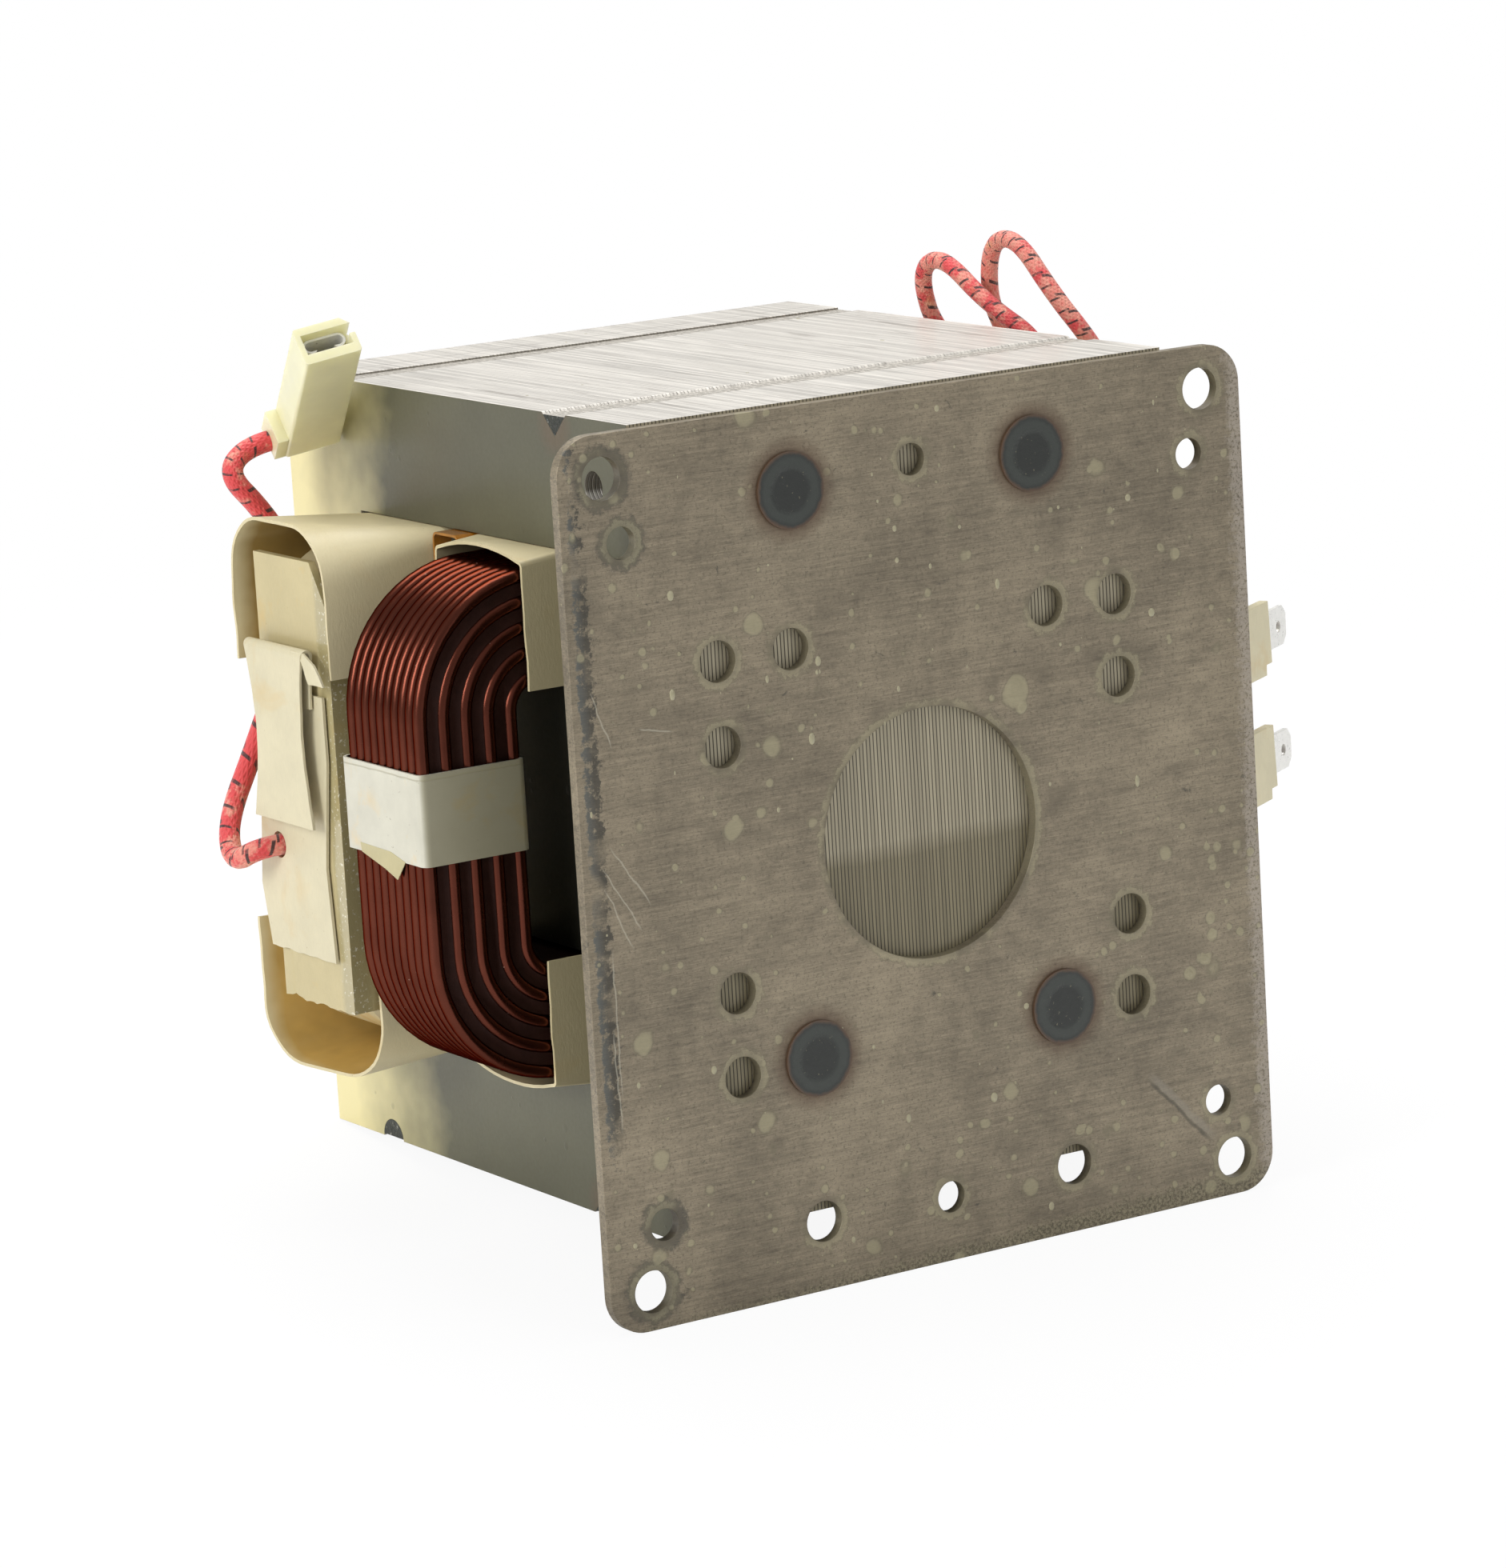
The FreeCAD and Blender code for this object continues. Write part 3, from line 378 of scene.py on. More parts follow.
@once
def fibre_group():
    """Cloudy, fibrous paper with a few soaked stains."""
    tree, given, put = new_group(
        "Paper fibre", [("Place", VECTOR, None), ("Stain", FLOAT, 0.5)],
        ["Cloud", "Stain", "Height"])
    fine = tree.noise(tree.stretched(given["Place"], (1.0, 1.0, 0.35)), 2.6, 4, 0.7)
    broad = tree.noise(given["Place"], 0.12, 3, 0.6)
    put("Cloud", fine * 0.35 + broad * 0.65)
    stain = tree.noise(given["Place"], 0.075, 4, 0.62, 0.6).ramp(0.56, 0.7)
    put("Stain", tree.math("MULTIPLY", stain, given["Stain"], clamp=True))
    put("Height", fine)
    return tree.tree


# Materials


def new_material(name):
    """A material with a Principled shader; returns it, its tree and a function that sets sockets."""
    made = bpy.data.materials.new(name)
    made.use_nodes = True
    tree = Tree(made.node_tree)
    shader = made.node_tree.nodes["Principled BSDF"]
    short = {"ior": "IOR", "specular": "Specular IOR Level"}

    def surface(**values):
        for key, value in values.items():
            tree.feed(shader.inputs[short.get(key) or key.replace("_", " ").title()], value)

    return made, tree, surface


def plug_sites():
    """Middles of the four plug welds in millimetres, on the plate's face."""
    sites = []
    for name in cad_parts:
        if name.startswith("plug_weld"):
            low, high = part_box(name)
            middle = (low + high) / 2 / MM
            sites.append((middle.x, 0.0, middle.z))
    return sites


def plug_radius():
    low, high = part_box("plug_weld_top_left")
    return (high.x - low.x) / 2 / MM


# Holes of the plate as (x, z, radius) in millimetres; those at one height lie on both sides
HOLES = (
    (53.45, 60.5, 3.2), (53.45, -60.5, 3.2), (50.8, 50.8, 2.4), (50.8, -50.8, 2.4), (35.7, 18.5, 3.1),
    (35.7, -18.5, 3.1), (35.7, 31.25, 3.1), (35.7, -31.25, 3.1), (22.95, 31.25, 3.1), (23.0, -55.8, 3.1),
    (0.0, -56.5, 2.4), (0.0, 56.5, 2.4), (0.0, 0.0, 19.1),
)

# Long scratches near the plate's left edge, from (x, z) to (x, z) in millimetres
SCRATCHES = (
    ((-56.8, -8.0), (-56.6, -31.0)), ((-57.4, -20.0), (-57.1, -36.0)), ((-57.6, 4.0), (-51.2, -6.5)),
    ((-57.4, 1.0), (-53.0, -9.0)), ((-56.0, 7.0), (-49.5, -3.0)), ((-57.8, 30.0), (-54.6, 21.0)),
    ((-50.0, 23.5), (-44.0, 22.0)),
)

# How large the plate's drips grow everywhere, and how far apart they lie in millimetres
DRIPS, DRIP_SPACING = 1.15, 7.0

# Streaks along which drops of varnish ran together, with their half width in millimetres
RUNS = (
    ((45.5, 44.0), (46.2, 26.0), 2.2), ((51.0, -2.0), (51.8, -24.0), 4.0),
    ((52.0, -24.0), (44.0, -36.0), 6.0), ((-19.0, -38.0), (-17.5, -52.0), 3.0),
    ((24.0, -48.0), (30.0, -56.0), 5.0), ((12.0, 12.0), (20.0, 26.0), 4.0),
)


def nearest_hole(tree, x, z):
    """How far a place on the plate is from the rim of the nearest hole, in millimetres."""
    spot = tree.place(abs(x), 0, z)
    gaps = [tree.vector("DISTANCE", spot, (hole_x, 0, hole_z)) - radius for hole_x, hole_z, radius in HOLES]
    return tree.lowest(*gaps)


def stroke(tree, place, wander, start, end, width):
    """A single tapering scratch between two places on the plate, as a mask."""
    start, end = Vector((start[0], 0, start[1])), Vector((end[0], 0, end[1]))
    span = end - start
    rest = tree.vector("SUBTRACT", tree.vector("MULTIPLY", place, (1, 0, 1)), start)
    along = tree.vector("DOT_PRODUCT", rest, span.normalized()) / span.length
    across = tree.vector("DOT_PRODUCT", rest, (-span.z / span.length, 0, span.x / span.length))
    off = abs(across + wander)
    ends = along.ramp(0.0, 0.15) * along.ramp(1.0, 0.85)
    return off.ramp(width, width * 0.3) * ends


def plug_distance(tree, place):
    """How far a place on the plate is from the middle of the nearest plug weld."""
    flat = tree.vector("MULTIPLY", place, (1, 0, 1))
    return tree.lowest(*[tree.vector("DISTANCE", flat, site) for site in plug_sites()])


def plate_material(look):
    """Brushed and varnished steel: scratches, dirt, drips and heat rings."""
    made, tree, surface = new_material("varnished plate steel")
    place = millimetres(tree)
    x, _, z = tree.axes(place)
    steel = Vector(look.steel)
    turn = (0, math.radians(-4), 0)
    brush = tree.noise(tree.stretched(place, (0.045, 1.0, 1.5), turn), 1.0, 5, 0.8)
    fine = tree.noise(tree.stretched(place, (0.35, 1.0, 6.5), turn), 1.0, 3, 0.85)
    mottle = tree.noise(place, 0.3, 5, 0.75)
    cloud = tree.noise(place, 0.035, 4, 0.65)
    tone = brush * 0.3 + cloud * 0.35 + mottle * 0.2 + fine * 0.3
    colour = tree.mix(tone.ramp(0.48, 0.68), steel * 0.56, steel * 1.36)
    grit = tree.noise(place, 1.9, 3, 0.8)
    colour = colour.blend(grit.ramp(0.53, 0.66, 0.0, 0.65), steel * 0.4)
    colour = colour.blend(grit.ramp(0.42, 0.3, 0.0, 0.25), steel * 1.5)
    smudge = tree.noise(tree.stretched(place, (0.6, 1, 1), turn), 0.12, 4, 0.6, 0.4).ramp(0.56, 0.72)
    colour = colour.blend(smudge * 0.5, steel * 0.5)
    soot = tree.noise(place, 0.34, 4, 0.7, 0.5).ramp(0.66, 0.72)
    colour = colour.blend(soot * 0.6, look.grime)
    rub = tree.noise(tree.stretched(place, (0.02, 1.0, 3.4), turn), 1.0, 3, 0.6).ramp(0.66, 0.72)
    colour = colour.blend(rub * 0.45, steel * 0.4)
    scratch = tree.group(scratches_group(), {"Place": place, "Amount": 0.7})["Mask"]
    colour = colour.blend(scratch * 0.6, steel * 0.45)
    low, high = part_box("base_plate")
    left = x - low.x / MM
    right = high.x / MM - x
    under = z - low.z / MM
    bite = tree.noise(place, 0.55, 5, 0.75)
    wide = tree.noise(place, 0.09, 3, 0.6)
    # Bare, rubbed metal along the right edge and crust along the lower one
    worn = (right + bite * 7.0).ramp(6.4, 5.0) * grit.ramp(0.6, 0.5)
    colour = colour.blend(worn * 0.6, linear("#aca398"))
    crust = (under + bite * 8.0 - x * 0.03).ramp(6.6, 5.0)
    spots = tree.mix(grit.ramp(0.45, 0.55), linear("#8d866c"), linear("#4f4a3a"))
    colour = colour.blend(crust * 0.6, spots)
    # Dirt in a band near the left edge and round the holes of the lower left corner
    band = left.ramp(5.4, 3.4) * left.ramp(0.4, 1.6)
    reach = z.ramp(-46, -36) * z.ramp(64, 40, 0.6, 1.0)
    dirt = (band * reach * 0.3 + bite).ramp(0.7, 0.78) * wide.ramp(0.35, 0.5)
    grey = tree.mix(left.ramp(3.0, 1.0), look.grime, linear("#5c6262"))
    colour = colour.blend(dirt * 0.8, grey)
    # Varnish that dried as drops and as rings round the holes
    hole = nearest_hole(tree, x, z)
    corner = x.ramp(-38, -46) * abs(z).ramp(38, 46)
    smear = (hole + bite * 5.0).ramp(4.5, 3.7) * corner
    colour = colour.blend(smear * 0.7, look.grime)
    ring = (hole + bite * 4.0).ramp(3.5, 2.8) * wide.ramp(0.36, 0.5) * grit.ramp(0.3, 0.5, 0.5, 1.0)
    wander = (tree.noise(place, 0.25, 2) - 0.5) * 1.2
    runs = [stroke(tree, place, wander, start, end, width) for start, end, width in RUNS]
    amount = tree.highest(*runs) * 1.3 + DRIPS
    drips = tree.group(drips_group(), {"Place": place, "Spacing": DRIP_SPACING, "Amount": amount})
    resin = tree.math("MAXIMUM", ring * 0.8, drips["Mask"])
    lip = resin.ramp(0.05, 0.35) * resin.ramp(0.7, 0.4)
    colour = colour.blend(resin * 0.62, look.varnish)
    colour = colour.blend(lip * 0.35, steel * 0.4)
    colour = colour.blend((hole + wide * 2.0).ramp(1.9, 0.9, 0.0, 0.4), steel * 0.4)
    ragged = plug_distance(tree, place) + tree.noise(place, 0.5, 3) * 1.4
    radius = plug_radius() + 0.7
    halo = ragged.ramp(radius + look.halo / MM, radius - 0.4)
    colour = colour.blend(halo * 0.85, look.burn)
    bright = tree.highest(*[stroke(tree, place, wander, start, end, 0.17) for start, end in SCRATCHES])
    colour = colour.blend(bright * 0.5, linear("#b9b4a2"))
    gouge = stroke(tree, place, wander, (37.5, -44.0), (50.0, -57.0), 0.9)
    colour = colour.blend(gouge * 0.5, linear("#8f897c"))
    edge = stroke(tree, place, wander, (37.0, -44.6), (49.4, -57.5), 0.4)
    colour = colour.blend(edge * 0.6, linear("#45423a"))
    surface(base_color=colour, metallic=0.35, roughness=tone.ramp(0.3, 0.7, 0.52, 0.4) + dirt * 0.25)
    drops = tree.group(drips_group(), {"Place": place, "Spacing": DRIP_SPACING, "Amount": DRIPS})["Mask"]
    height = drops * 0.7 + brush * 0.12 + fine * 0.08
    surface(normal=tree.bump(height, 0.12 * MM), coat_weight=0.08, coat_roughness=0.25)
    return made


def plug_material(look):
    """Burnt weld metal: a dark pool, a bluish ring round it and a brown rim."""
    made, tree, surface = new_material("burnt plug weld")
    place = millimetres(tree)
    rough = tree.noise(place, 0.9, 4, 0.6)
    ring = plug_distance(tree, place) + rough * 0.8
    weld = Vector(look.weld)
    colour = tree.mix(ring.ramp(3.2, 4.2), weld * 0.6, weld * 1.35)
    colour = colour.blend(ring.ramp(5.0, 5.6), weld * 0.8)
    colour = colour.blend(ring.ramp(5.6, 6.1), look.burn)
    specks = tree.noise(place, 2.0, 3, 0.6).ramp(0.66, 0.72) * ring.ramp(4.6, 3.4)
    colour = colour.blend(specks * 0.4, look.varnish)
    surface(base_color=colour, metallic=0.1, coat_weight=0.15, coat_roughness=0.12)
    surface(roughness=rough.ramp(0.2, 0.8, 0.35, 0.55))
    height = ring.ramp(3.4, 4.0) * 0.8 + rough * 0.6
    surface(normal=tree.bump(height, 0.18 * MM))
    return made


def seam_distance(tree, y, z):
    """How far a place is from the nearer of the two welded seams, seen from the side."""
    spot = tree.place(0, y, z)
    gaps = []
    for up in ("top", "low"):
        low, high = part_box("weld_bead_seam_" + up)
        middle = (low + high) / 2 / MM
        gaps.append(tree.vector("DISTANCE", spot, (0, middle.y, middle.z)))
    return tree.lowest(*gaps)


# Height of the core's middle and depth of the seam between its two packets, in millimetres
CORE_MIDDLE, CORE_SEAM = 6.46, 96.0


def core_material(look):
    """Laminated steel: smooth on the outermost sheets, lined on the cut edges."""
    made, tree, surface = new_material("varnished laminations")
    place = millimetres(tree)
    nx, ny, nz = tree.normal()
    flat = abs(nx).ramp(0.6, 0.8)
    painted_top_highlight = nz.ramp(0.2, 0.5)
    sheets = tree.group(laminations_group(), {"Place": place, "Pitch": look.pitch / MM})
    face, edge, top = Vector(look.face), Vector(look.edge), Vector(look.top)
    cloud = tree.noise(place, 0.03, 4, 0.6)
    fine = tree.noise(place, 1.3, 3, 0.6)
    x, y, z = tree.axes(place)
    # The outermost sheet: a painted reflection makes it yellower towards the back, painted shade makes it
    # near black in the primary's eye, and it is dark at the seams
    # Painted reflection: yellower towards the back
    painted_far_reflection = (cloud * 40 + y).ramp(94, 118)
    smooth = tree.mix(cloud.ramp(0.3, 0.7), face * 0.86, face * 1.14)
    smooth = smooth.blend(painted_far_reflection, linear("#e3d8a2"))
    drips = tree.group(drips_group(), {"Place": place, "Spacing": 9.0, "Amount": 0.55})
    smooth = smooth.blend(drips["Mask"] * 0.22, face * 0.5)
    burn = seam_distance(tree, y, z) + fine * 2.0
    smooth = smooth.blend(burn.ramp(6.4, 3.6, 0.0, 0.6), linear("#5e4c38"))
    # Painted shade: near black in the primary's eye, between the winding and the centre leg
    painted_eye_shade = abs(z - CORE_MIDDLE).ramp(21.5, 20.4) * y.ramp(52, 48)
    smooth = smooth.blend(painted_eye_shade * y.ramp(22.0, 22.4), linear("#15150e"))
    # Cut edges: streaked, with a painted highlight on top and painted shade behind the plate
    streak = tree.noise(tree.stretched(place, (1.2, 0.03, 0.03)), 1.0, 5, 0.75)
    tone = sheets["Shade"] * 0.3 + streak * 0.8
    lined = tree.mix(tone.ramp(0.35, 0.85), edge * 0.7, edge * 1.2)
    lined = lined.blend(sheets["Groove"] * 0.6, edge * 0.35)
    # Painted highlight: cut edges that face up take the bright top colour
    bright = tree.mix(tone.ramp(0.3, 0.8), top * 0.66, top * 1.14)
    worn = tree.noise(tree.stretched(place, (0.5, 0.04, 0.04)), 1.0, 4, 0.7).ramp(0.56, 0.68)
    worn = worn * abs(x).ramp(0, 45, 0.3, 0.8)
    bright = bright.blend(worn, linear("#948d84"))
    broken = tree.noise(tree.stretched(place, (1.5, 0.05, 0.05)), 1.0, 3, 0.6).ramp(0.5, 0.66)
    bright = bright.blend(sheets["Groove"] * broken * 0.8, linear("#6d6760"))
    seam = abs(y - CORE_SEAM).ramp(0.25, 0.1, 0.0, 0.5)
    bright = bright.blend(seam, linear("#6d6760"))
    # Painted shade on the cut edges that face the plate from behind it; a painted reflection makes them
    # lighter above about z = 0, painted shade darker below
    behind = ny.ramp(-0.5, -0.8) * y.ramp(6.0, 4.0)
    painted_shade_front = tree.mix((z + cloud * 5).ramp(-0.6, 2.0), linear("#877e64"), linear("#ada48c"))
    shade = sheets["Shade"] * 0.2 + streak * 0.3
    painted_shade_front = painted_shade_front.blend(shade.ramp(0.15, 0.4, 0.3, 0.0), linear("#4a4536"))
    painted_shade_front = painted_shade_front.blend(tree.math("POWER", sheets["Groove"], 0.5), linear("#353128"))
    lined = lined.blend(behind, painted_shade_front)
    colour = tree.mix(flat, lined.blend(painted_top_highlight, bright), smooth)
    surface(base_color=colour, metallic=flat.ramp(0, 1, 0.3, 0.15))
    surface(roughness=fine.ramp(0.2, 0.8, 0.38, 0.52), coat_weight=0.2, coat_roughness=0.22)
    groove = sheets["Groove"] * (1.0 - flat)
    height = drips["Height"] * 0.5 - groove + sheets["Shade"] * 0.4 + fine * 0.1
    surface(normal=tree.bump(height, 0.08 * MM))
    return made


def bead_material(look):
    """Weld bead: pale and rippled along its top, burnt dark at its ends."""
    made, tree, surface = new_material("weld bead")
    place = millimetres(tree)
    x = tree.axes(place)[0]
    ripple = tree.math("SINE", (x + tree.noise(place, 0.3, 2)) * 4.2)
    grain = tree.noise(place, 1.4, 4, 0.65)
    end = abs(tree.normal()[0]).ramp(0.5, 0.8)
    weld = Vector(look.weld)
    pale = tree.mix(grain.ramp(0.35, 0.7), linear("#8b867c"), linear("#d0cac0"))
    dark = tree.mix(grain.ramp(0.6, 0.68), weld, linear("#8f9088"))
    surface(base_color=pale.blend(end, dark), metallic=0.3, roughness=0.42)
    surface(normal=tree.bump(ripple * 0.5 + grain, 0.2 * MM))
    return made


def enamel_material(look):
    """Copper under dark red enamel, with dust and a few dull patches."""
    made, tree, surface = new_material("enamelled copper")
    place = millimetres(tree)
    cloud = tree.noise(place, 0.09, 3, 0.6)
    fine = tree.noise(place, 3.0, 3, 0.6)
    enamel = Vector(look.enamel)
    colour = tree.mix(cloud.ramp(0.3, 0.7), enamel * 0.8, enamel * 1.15)
    dust = tree.node("TexVoronoi", {"Vector": place, "Scale": 0.8, "Randomness": 1.0})
    fleck = dust["Distance"].ramp(0.1, 0.04) * dust["Color"].ramp(0.78, 0.83)
    colour = colour.blend(fleck * 0.6, linear("#b8998a"))
    surface(base_color=colour, metallic=1.0, specular_tint=linear("#8a5a4a"))
    rough = cloud.ramp(0.3, 0.75, 0.24, 0.3) + fleck * 0.4
    surface(roughness=rough, normal=tree.bump(fine, 0.003 * MM))
    return made


def cloudy_material(name, colour, grain, shades, rough, depth, **values):
    """A plain material whose colour and bump follow one cloud of noise.

    grain is the noise's scale, detail and roughness, shades what its two ends multiply the
    colour by, rough one roughness or two, depth the bump's depth in millimetres.
    """
    made, tree, surface = new_material(name)
    cloud = tree.noise(millimetres(tree), *grain)
    base = Vector(colour)
    surface(base_color=tree.mix(cloud, base * shades[0], base * shades[1]), **values)
    surface(roughness=cloud.ramp(0.2, 0.8, *rough) if isinstance(rough, tuple) else rough)
    surface(normal=tree.bump(cloud, depth * MM))
    return made


def valley_material(look):
    """Dark varnish that fills the valleys between the wires."""
    return cloudy_material("winding varnish", look.varnish, (0.6, 4, 0.6), (0.7, 1.6), 0.6, 0.1,
                           specular=0.12)


def paper_material(name, paper_colour, stain_colour, stain=0.5, sheen=0.35, glazed=None, facing=None):
    """Stiff insulating paper, cloudy, with darker stains.

    glazed is the Y in millimetres under which varnish has run over it, facing the colour of
    painted light and shade on the faces that turn towards the plate.
    """
    made, tree, surface = new_material(name)
    place = millimetres(tree)
    fibre = tree.group(fibre_group(), {"Place": place, "Stain": stain})
    base, dark = Vector(paper_colour), Vector(stain_colour)
    colour = tree.mix(fibre["Cloud"].ramp(0.3, 0.7), base * 0.88, base * 1.04)
    colour = colour.blend(fibre["Stain"], dark)
    speck = tree.noise(place, 1.9, 2, 0.5).ramp(0.73, 0.78)
    colour = colour.blend(speck * 0.5, dark * 0.5)
    if facing is not None:
        # Painted light and shade: faces that turn towards the plate take the facing colour
        colour = colour.blend(tree.normal()[1].ramp(-0.4, -0.8, 0.0, 0.6), facing)
    if glazed is None:
        surface(coat_weight=sheen, coat_roughness=0.35)
    else:
        edge = tree.axes(place)[1] - fibre["Cloud"] * 3.0
        glaze = edge.ramp(glazed, glazed - 1.0)
        colour = colour.blend(glaze * 0.6, linear("#8f8458"))
        bead = tree.noise(place, 1.5, 3, 0.7).ramp(0.6, 0.66)
        colour = colour.blend(bead * glaze * 0.7, linear("#e6e2cf"))
        surface(coat_weight=glaze.ramp(0, 1, sheen * 0.5, 0.9), coat_roughness=0.12)
    surface(base_color=colour, roughness=0.55, normal=tree.bump(fibre["Height"], 0.05 * MM))
    return made


def soaked_material(look):
    """The inner side of a paper channel, brown and glossy with varnish, with painted shade in the upper
    channel's crown.
    """
    made, tree, surface = new_material("varnished paper")
    place = millimetres(tree)
    cloud = tree.noise(place, 0.08, 3, 0.6)
    soaked, paper = Vector(look.soaked), Vector(look.paper)
    x, _, z = tree.axes(place)
    colour = tree.mix(cloud.ramp(0.3, 0.65), soaked * 0.8, soaked * 1.15)
    # Painted shade: darker inside the upper channel's crown, which faces down
    colour = colour.blend(z.ramp(20, 30, 0.0, 0.6), soaked * 0.25)
    colour = colour.blend((abs(x) + cloud * 4.0).ramp(69.0, 72.0), paper)
    surface(base_color=colour, roughness=0.4, coat_weight=0.8, coat_roughness=0.08)
    surface(normal=tree.bump(cloud, 0.3 * MM))
    return made


def tape_material(look):
    """Cream tape with stains, dark specks, a darker line at its lapped edge and painted shade on its faces
    towards the plate.
    """
    made, tree, surface = new_material("cream tape")
    place = millimetres(tree)
    tape, soaked = Vector(look.tape), Vector(look.soaked)
    cloud = tree.noise(place, 0.15, 4, 0.6)
    colour = tree.mix(cloud.ramp(0.3, 0.7), tape * 0.9, tape * 1.05)
    stain = tree.noise(place, 0.11, 4, 0.6, 0.5).ramp(0.58, 0.74)
    colour = colour.blend(stain * 0.5, soaked * 1.2)
    speck = tree.noise(place, 1.1, 3, 0.6).ramp(0.7, 0.76)
    colour = colour.blend(speck * 0.6, linear("#6a5a40"))
    # Painted shade on the faces that turn towards the plate
    colour = colour.blend(tree.normal()[1].ramp(-0.5, -0.95, 0.0, 0.75), linear("#767052"))
    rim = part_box("primary_tape")[1].z / MM - tree.axes(place)[2] + cloud * 0.5
    lap = abs(rim - 1.0).ramp(0.16, 0.05, 0.0, 0.4)
    colour = colour.blend(lap, linear("#8f8766"))
    surface(base_color=colour, roughness=0.45, coat_weight=0.2, coat_roughness=0.2)
    crease = tree.noise(tree.stretched(place, (0.3, 0.3, 1.2)), 0.4, 3, 0.6)
    surface(normal=tree.bump(rim.ramp(1.0, 1.2) + crease * 0.8, 0.1 * MM))
    return made


def amber_material(look):
    """Glossy amber film."""
    return cloudy_material("amber film", look.amber, (0.4, 3), (0.55, 1.3), 0.22, 0.15,
                           coat_weight=0.8, coat_roughness=0.06)


def braid_material(name, look, diameter, length, wear):
    """Braided sleeve on a lead: crossing yarns, dark tracer ticks and worn patches."""
    made, tree, surface = new_material(name)
    along, around, _ = tree.axes(tree.node("TexCoord")["UV"])
    girth = math.pi * diameter
    lay = 12
    yarn = girth / lay
    run = along * (length / yarn / 2)
    turn = around * lay
    strands = [abs(tree.math("FRACT", run * way + turn) - 0.5).ramp(0.5, 0.1) for way in (1, -1)]
    height = tree.highest(*strands)
    place = millimetres(tree)
    near = along.ramp(0.34, 0.12, 0.0, 0.14)
    worn = (tree.noise(place, 0.28, 4, 0.7) + near).ramp(0.62 - wear * 0.25, 0.72 - wear * 0.25)
    cloud = tree.noise(place, 1.0, 3)
    braid, faded = Vector(look.braid), Vector(look.faded)
    colour = tree.mix(cloud, braid * 0.75, braid * 1.1)
    pale = tree.mix(cloud.ramp(0.35, 0.65), faded, (faded + braid) / 2)
    colour = colour.blend(worn * 0.85, pale)
    amber = tree.noise(place, 0.21, 2).ramp(0.64, 0.7)
    colour = colour.blend(amber * (0.5 * wear), linear("#dcb377"))
    ticks = []
    for period, shift in ((3.4, 0.0), (5.1, 0.37)):
        row = tree.math("FRACT", along * (length / (period * MM)) + around)
        side = tree.math("FRACT", around * 2.0 + shift)
        ticks.append(abs(row - 0.5).ramp(0.085, 0.055) * side.ramp(0.5, 0.44))
    frayed = cloud.ramp(0.3, 0.5, 0.45, 0.95)
    colour = colour.blend(tree.highest(*ticks) * frayed, look.tick)
    # Painted shade in the hollows between the yarns
    colour = colour.blend(height.ramp(0.25, 0.0, 0.0, 0.4), braid * 0.3)
    surface(base_color=colour, roughness=0.6, sheen_weight=0.2, normal=tree.bump(height, 0.12 * MM))
    return made


def nylon_material(look):
    """Natural nylon, cloudy and translucent."""
    return cloudy_material("natural nylon", look.nylon, (0.22, 3), (0.9, 1.08), 0.34, 0.05, ior=1.5,
                           transmission_weight=0.12, subsurface_weight=0.4,
                           subsurface_radius=(1.0, 0.95, 0.6), subsurface_scale=0.003)


def tin_material(look):
    """Tinned brass."""
    return cloudy_material("tinned brass", look.tin, (0.9, 4, 0.6), (0.75, 1.1), (0.22, 0.4), 0.03,
                           metallic=0.3)


def resin_material(look):
    """Drips of clear, yellowish varnish."""
    return cloudy_material("dried varnish", look.varnish, (1.1, 3), (0.7, 1.2), 0.3, 0.04,
                           coat_weight=0.5, coat_roughness=0.1)


# Building meshes


def new_object(name, data):
    made = bpy.data.objects.new(name, data)
    bpy.context.scene.collection.objects.link(made)
    return made


def reshaped(mesh, change):
    """Makes a change to a mesh as a bmesh form."""
    form = bmesh.new()
    form.from_mesh(mesh)
    change(form)
    form.to_mesh(mesh)
    form.free()


def joined(form):
    """Joins a form's loose triangles into its real faces."""
    bmesh.ops.remove_doubles(form, verts=form.verts, dist=0.001 * MM)
    bmesh.ops.dissolve_limit(form, angle_limit=math.radians(0.5), verts=form.verts, edges=form.edges)


def merged_mesh(node, name):
    """A copy of a CAD node's mesh with its loose triangles joined."""
    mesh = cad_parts[node].data.copy()
    mesh.name = name
    reshaped(mesh, joined)
    mesh.materials.clear()
    return mesh


def smoothed(mesh, angle):
    """Shades a mesh smooth between the edges that are sharper than an angle in degrees."""
    mesh.shade_smooth()
    mesh.set_sharp_from_angle(angle=math.radians(angle))


def formed(name, form, materials):
    """A new object from a bmesh form, which is used up."""
    mesh = bpy.data.meshes.new(name)
    form.to_mesh(mesh)
    form.free()
    for material in materials:
        mesh.materials.append(material)
    return new_object(name, mesh)


def dressed(node, name, material, rim=0.0, angle=35, change=None):
    """A piece that replaces a CAD node: the same form with rounded rims and smooth curves."""
    mesh = merged_mesh(node, name)
    if change:
        reshaped(mesh, change)
    mesh.materials.append(material)
    smoothed(mesh, angle)
    piece = new_object(name, mesh)
    if rim:
        bevel = piece.modifiers.new("rim", "BEVEL")
        bevel.width = rim
        bevel.segments = 2
        bevel.limit_method = "ANGLE"
        bevel.angle_limit = math.radians(angle)
        bevel.harden_normals = True
        bevel.miter_outer = "MITER_ARC"
    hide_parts(node)
    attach(piece, "root")
    return piece


def baked(piece, name):
    """The evaluated object as a plain mesh object in the same place."""
    view = bpy.context.evaluated_depsgraph_get()
    mesh = bpy.data.meshes.new_from_object(piece.evaluated_get(view))
    mesh.name = name
    bpy.data.objects.remove(piece)
    return new_object(name, mesh)


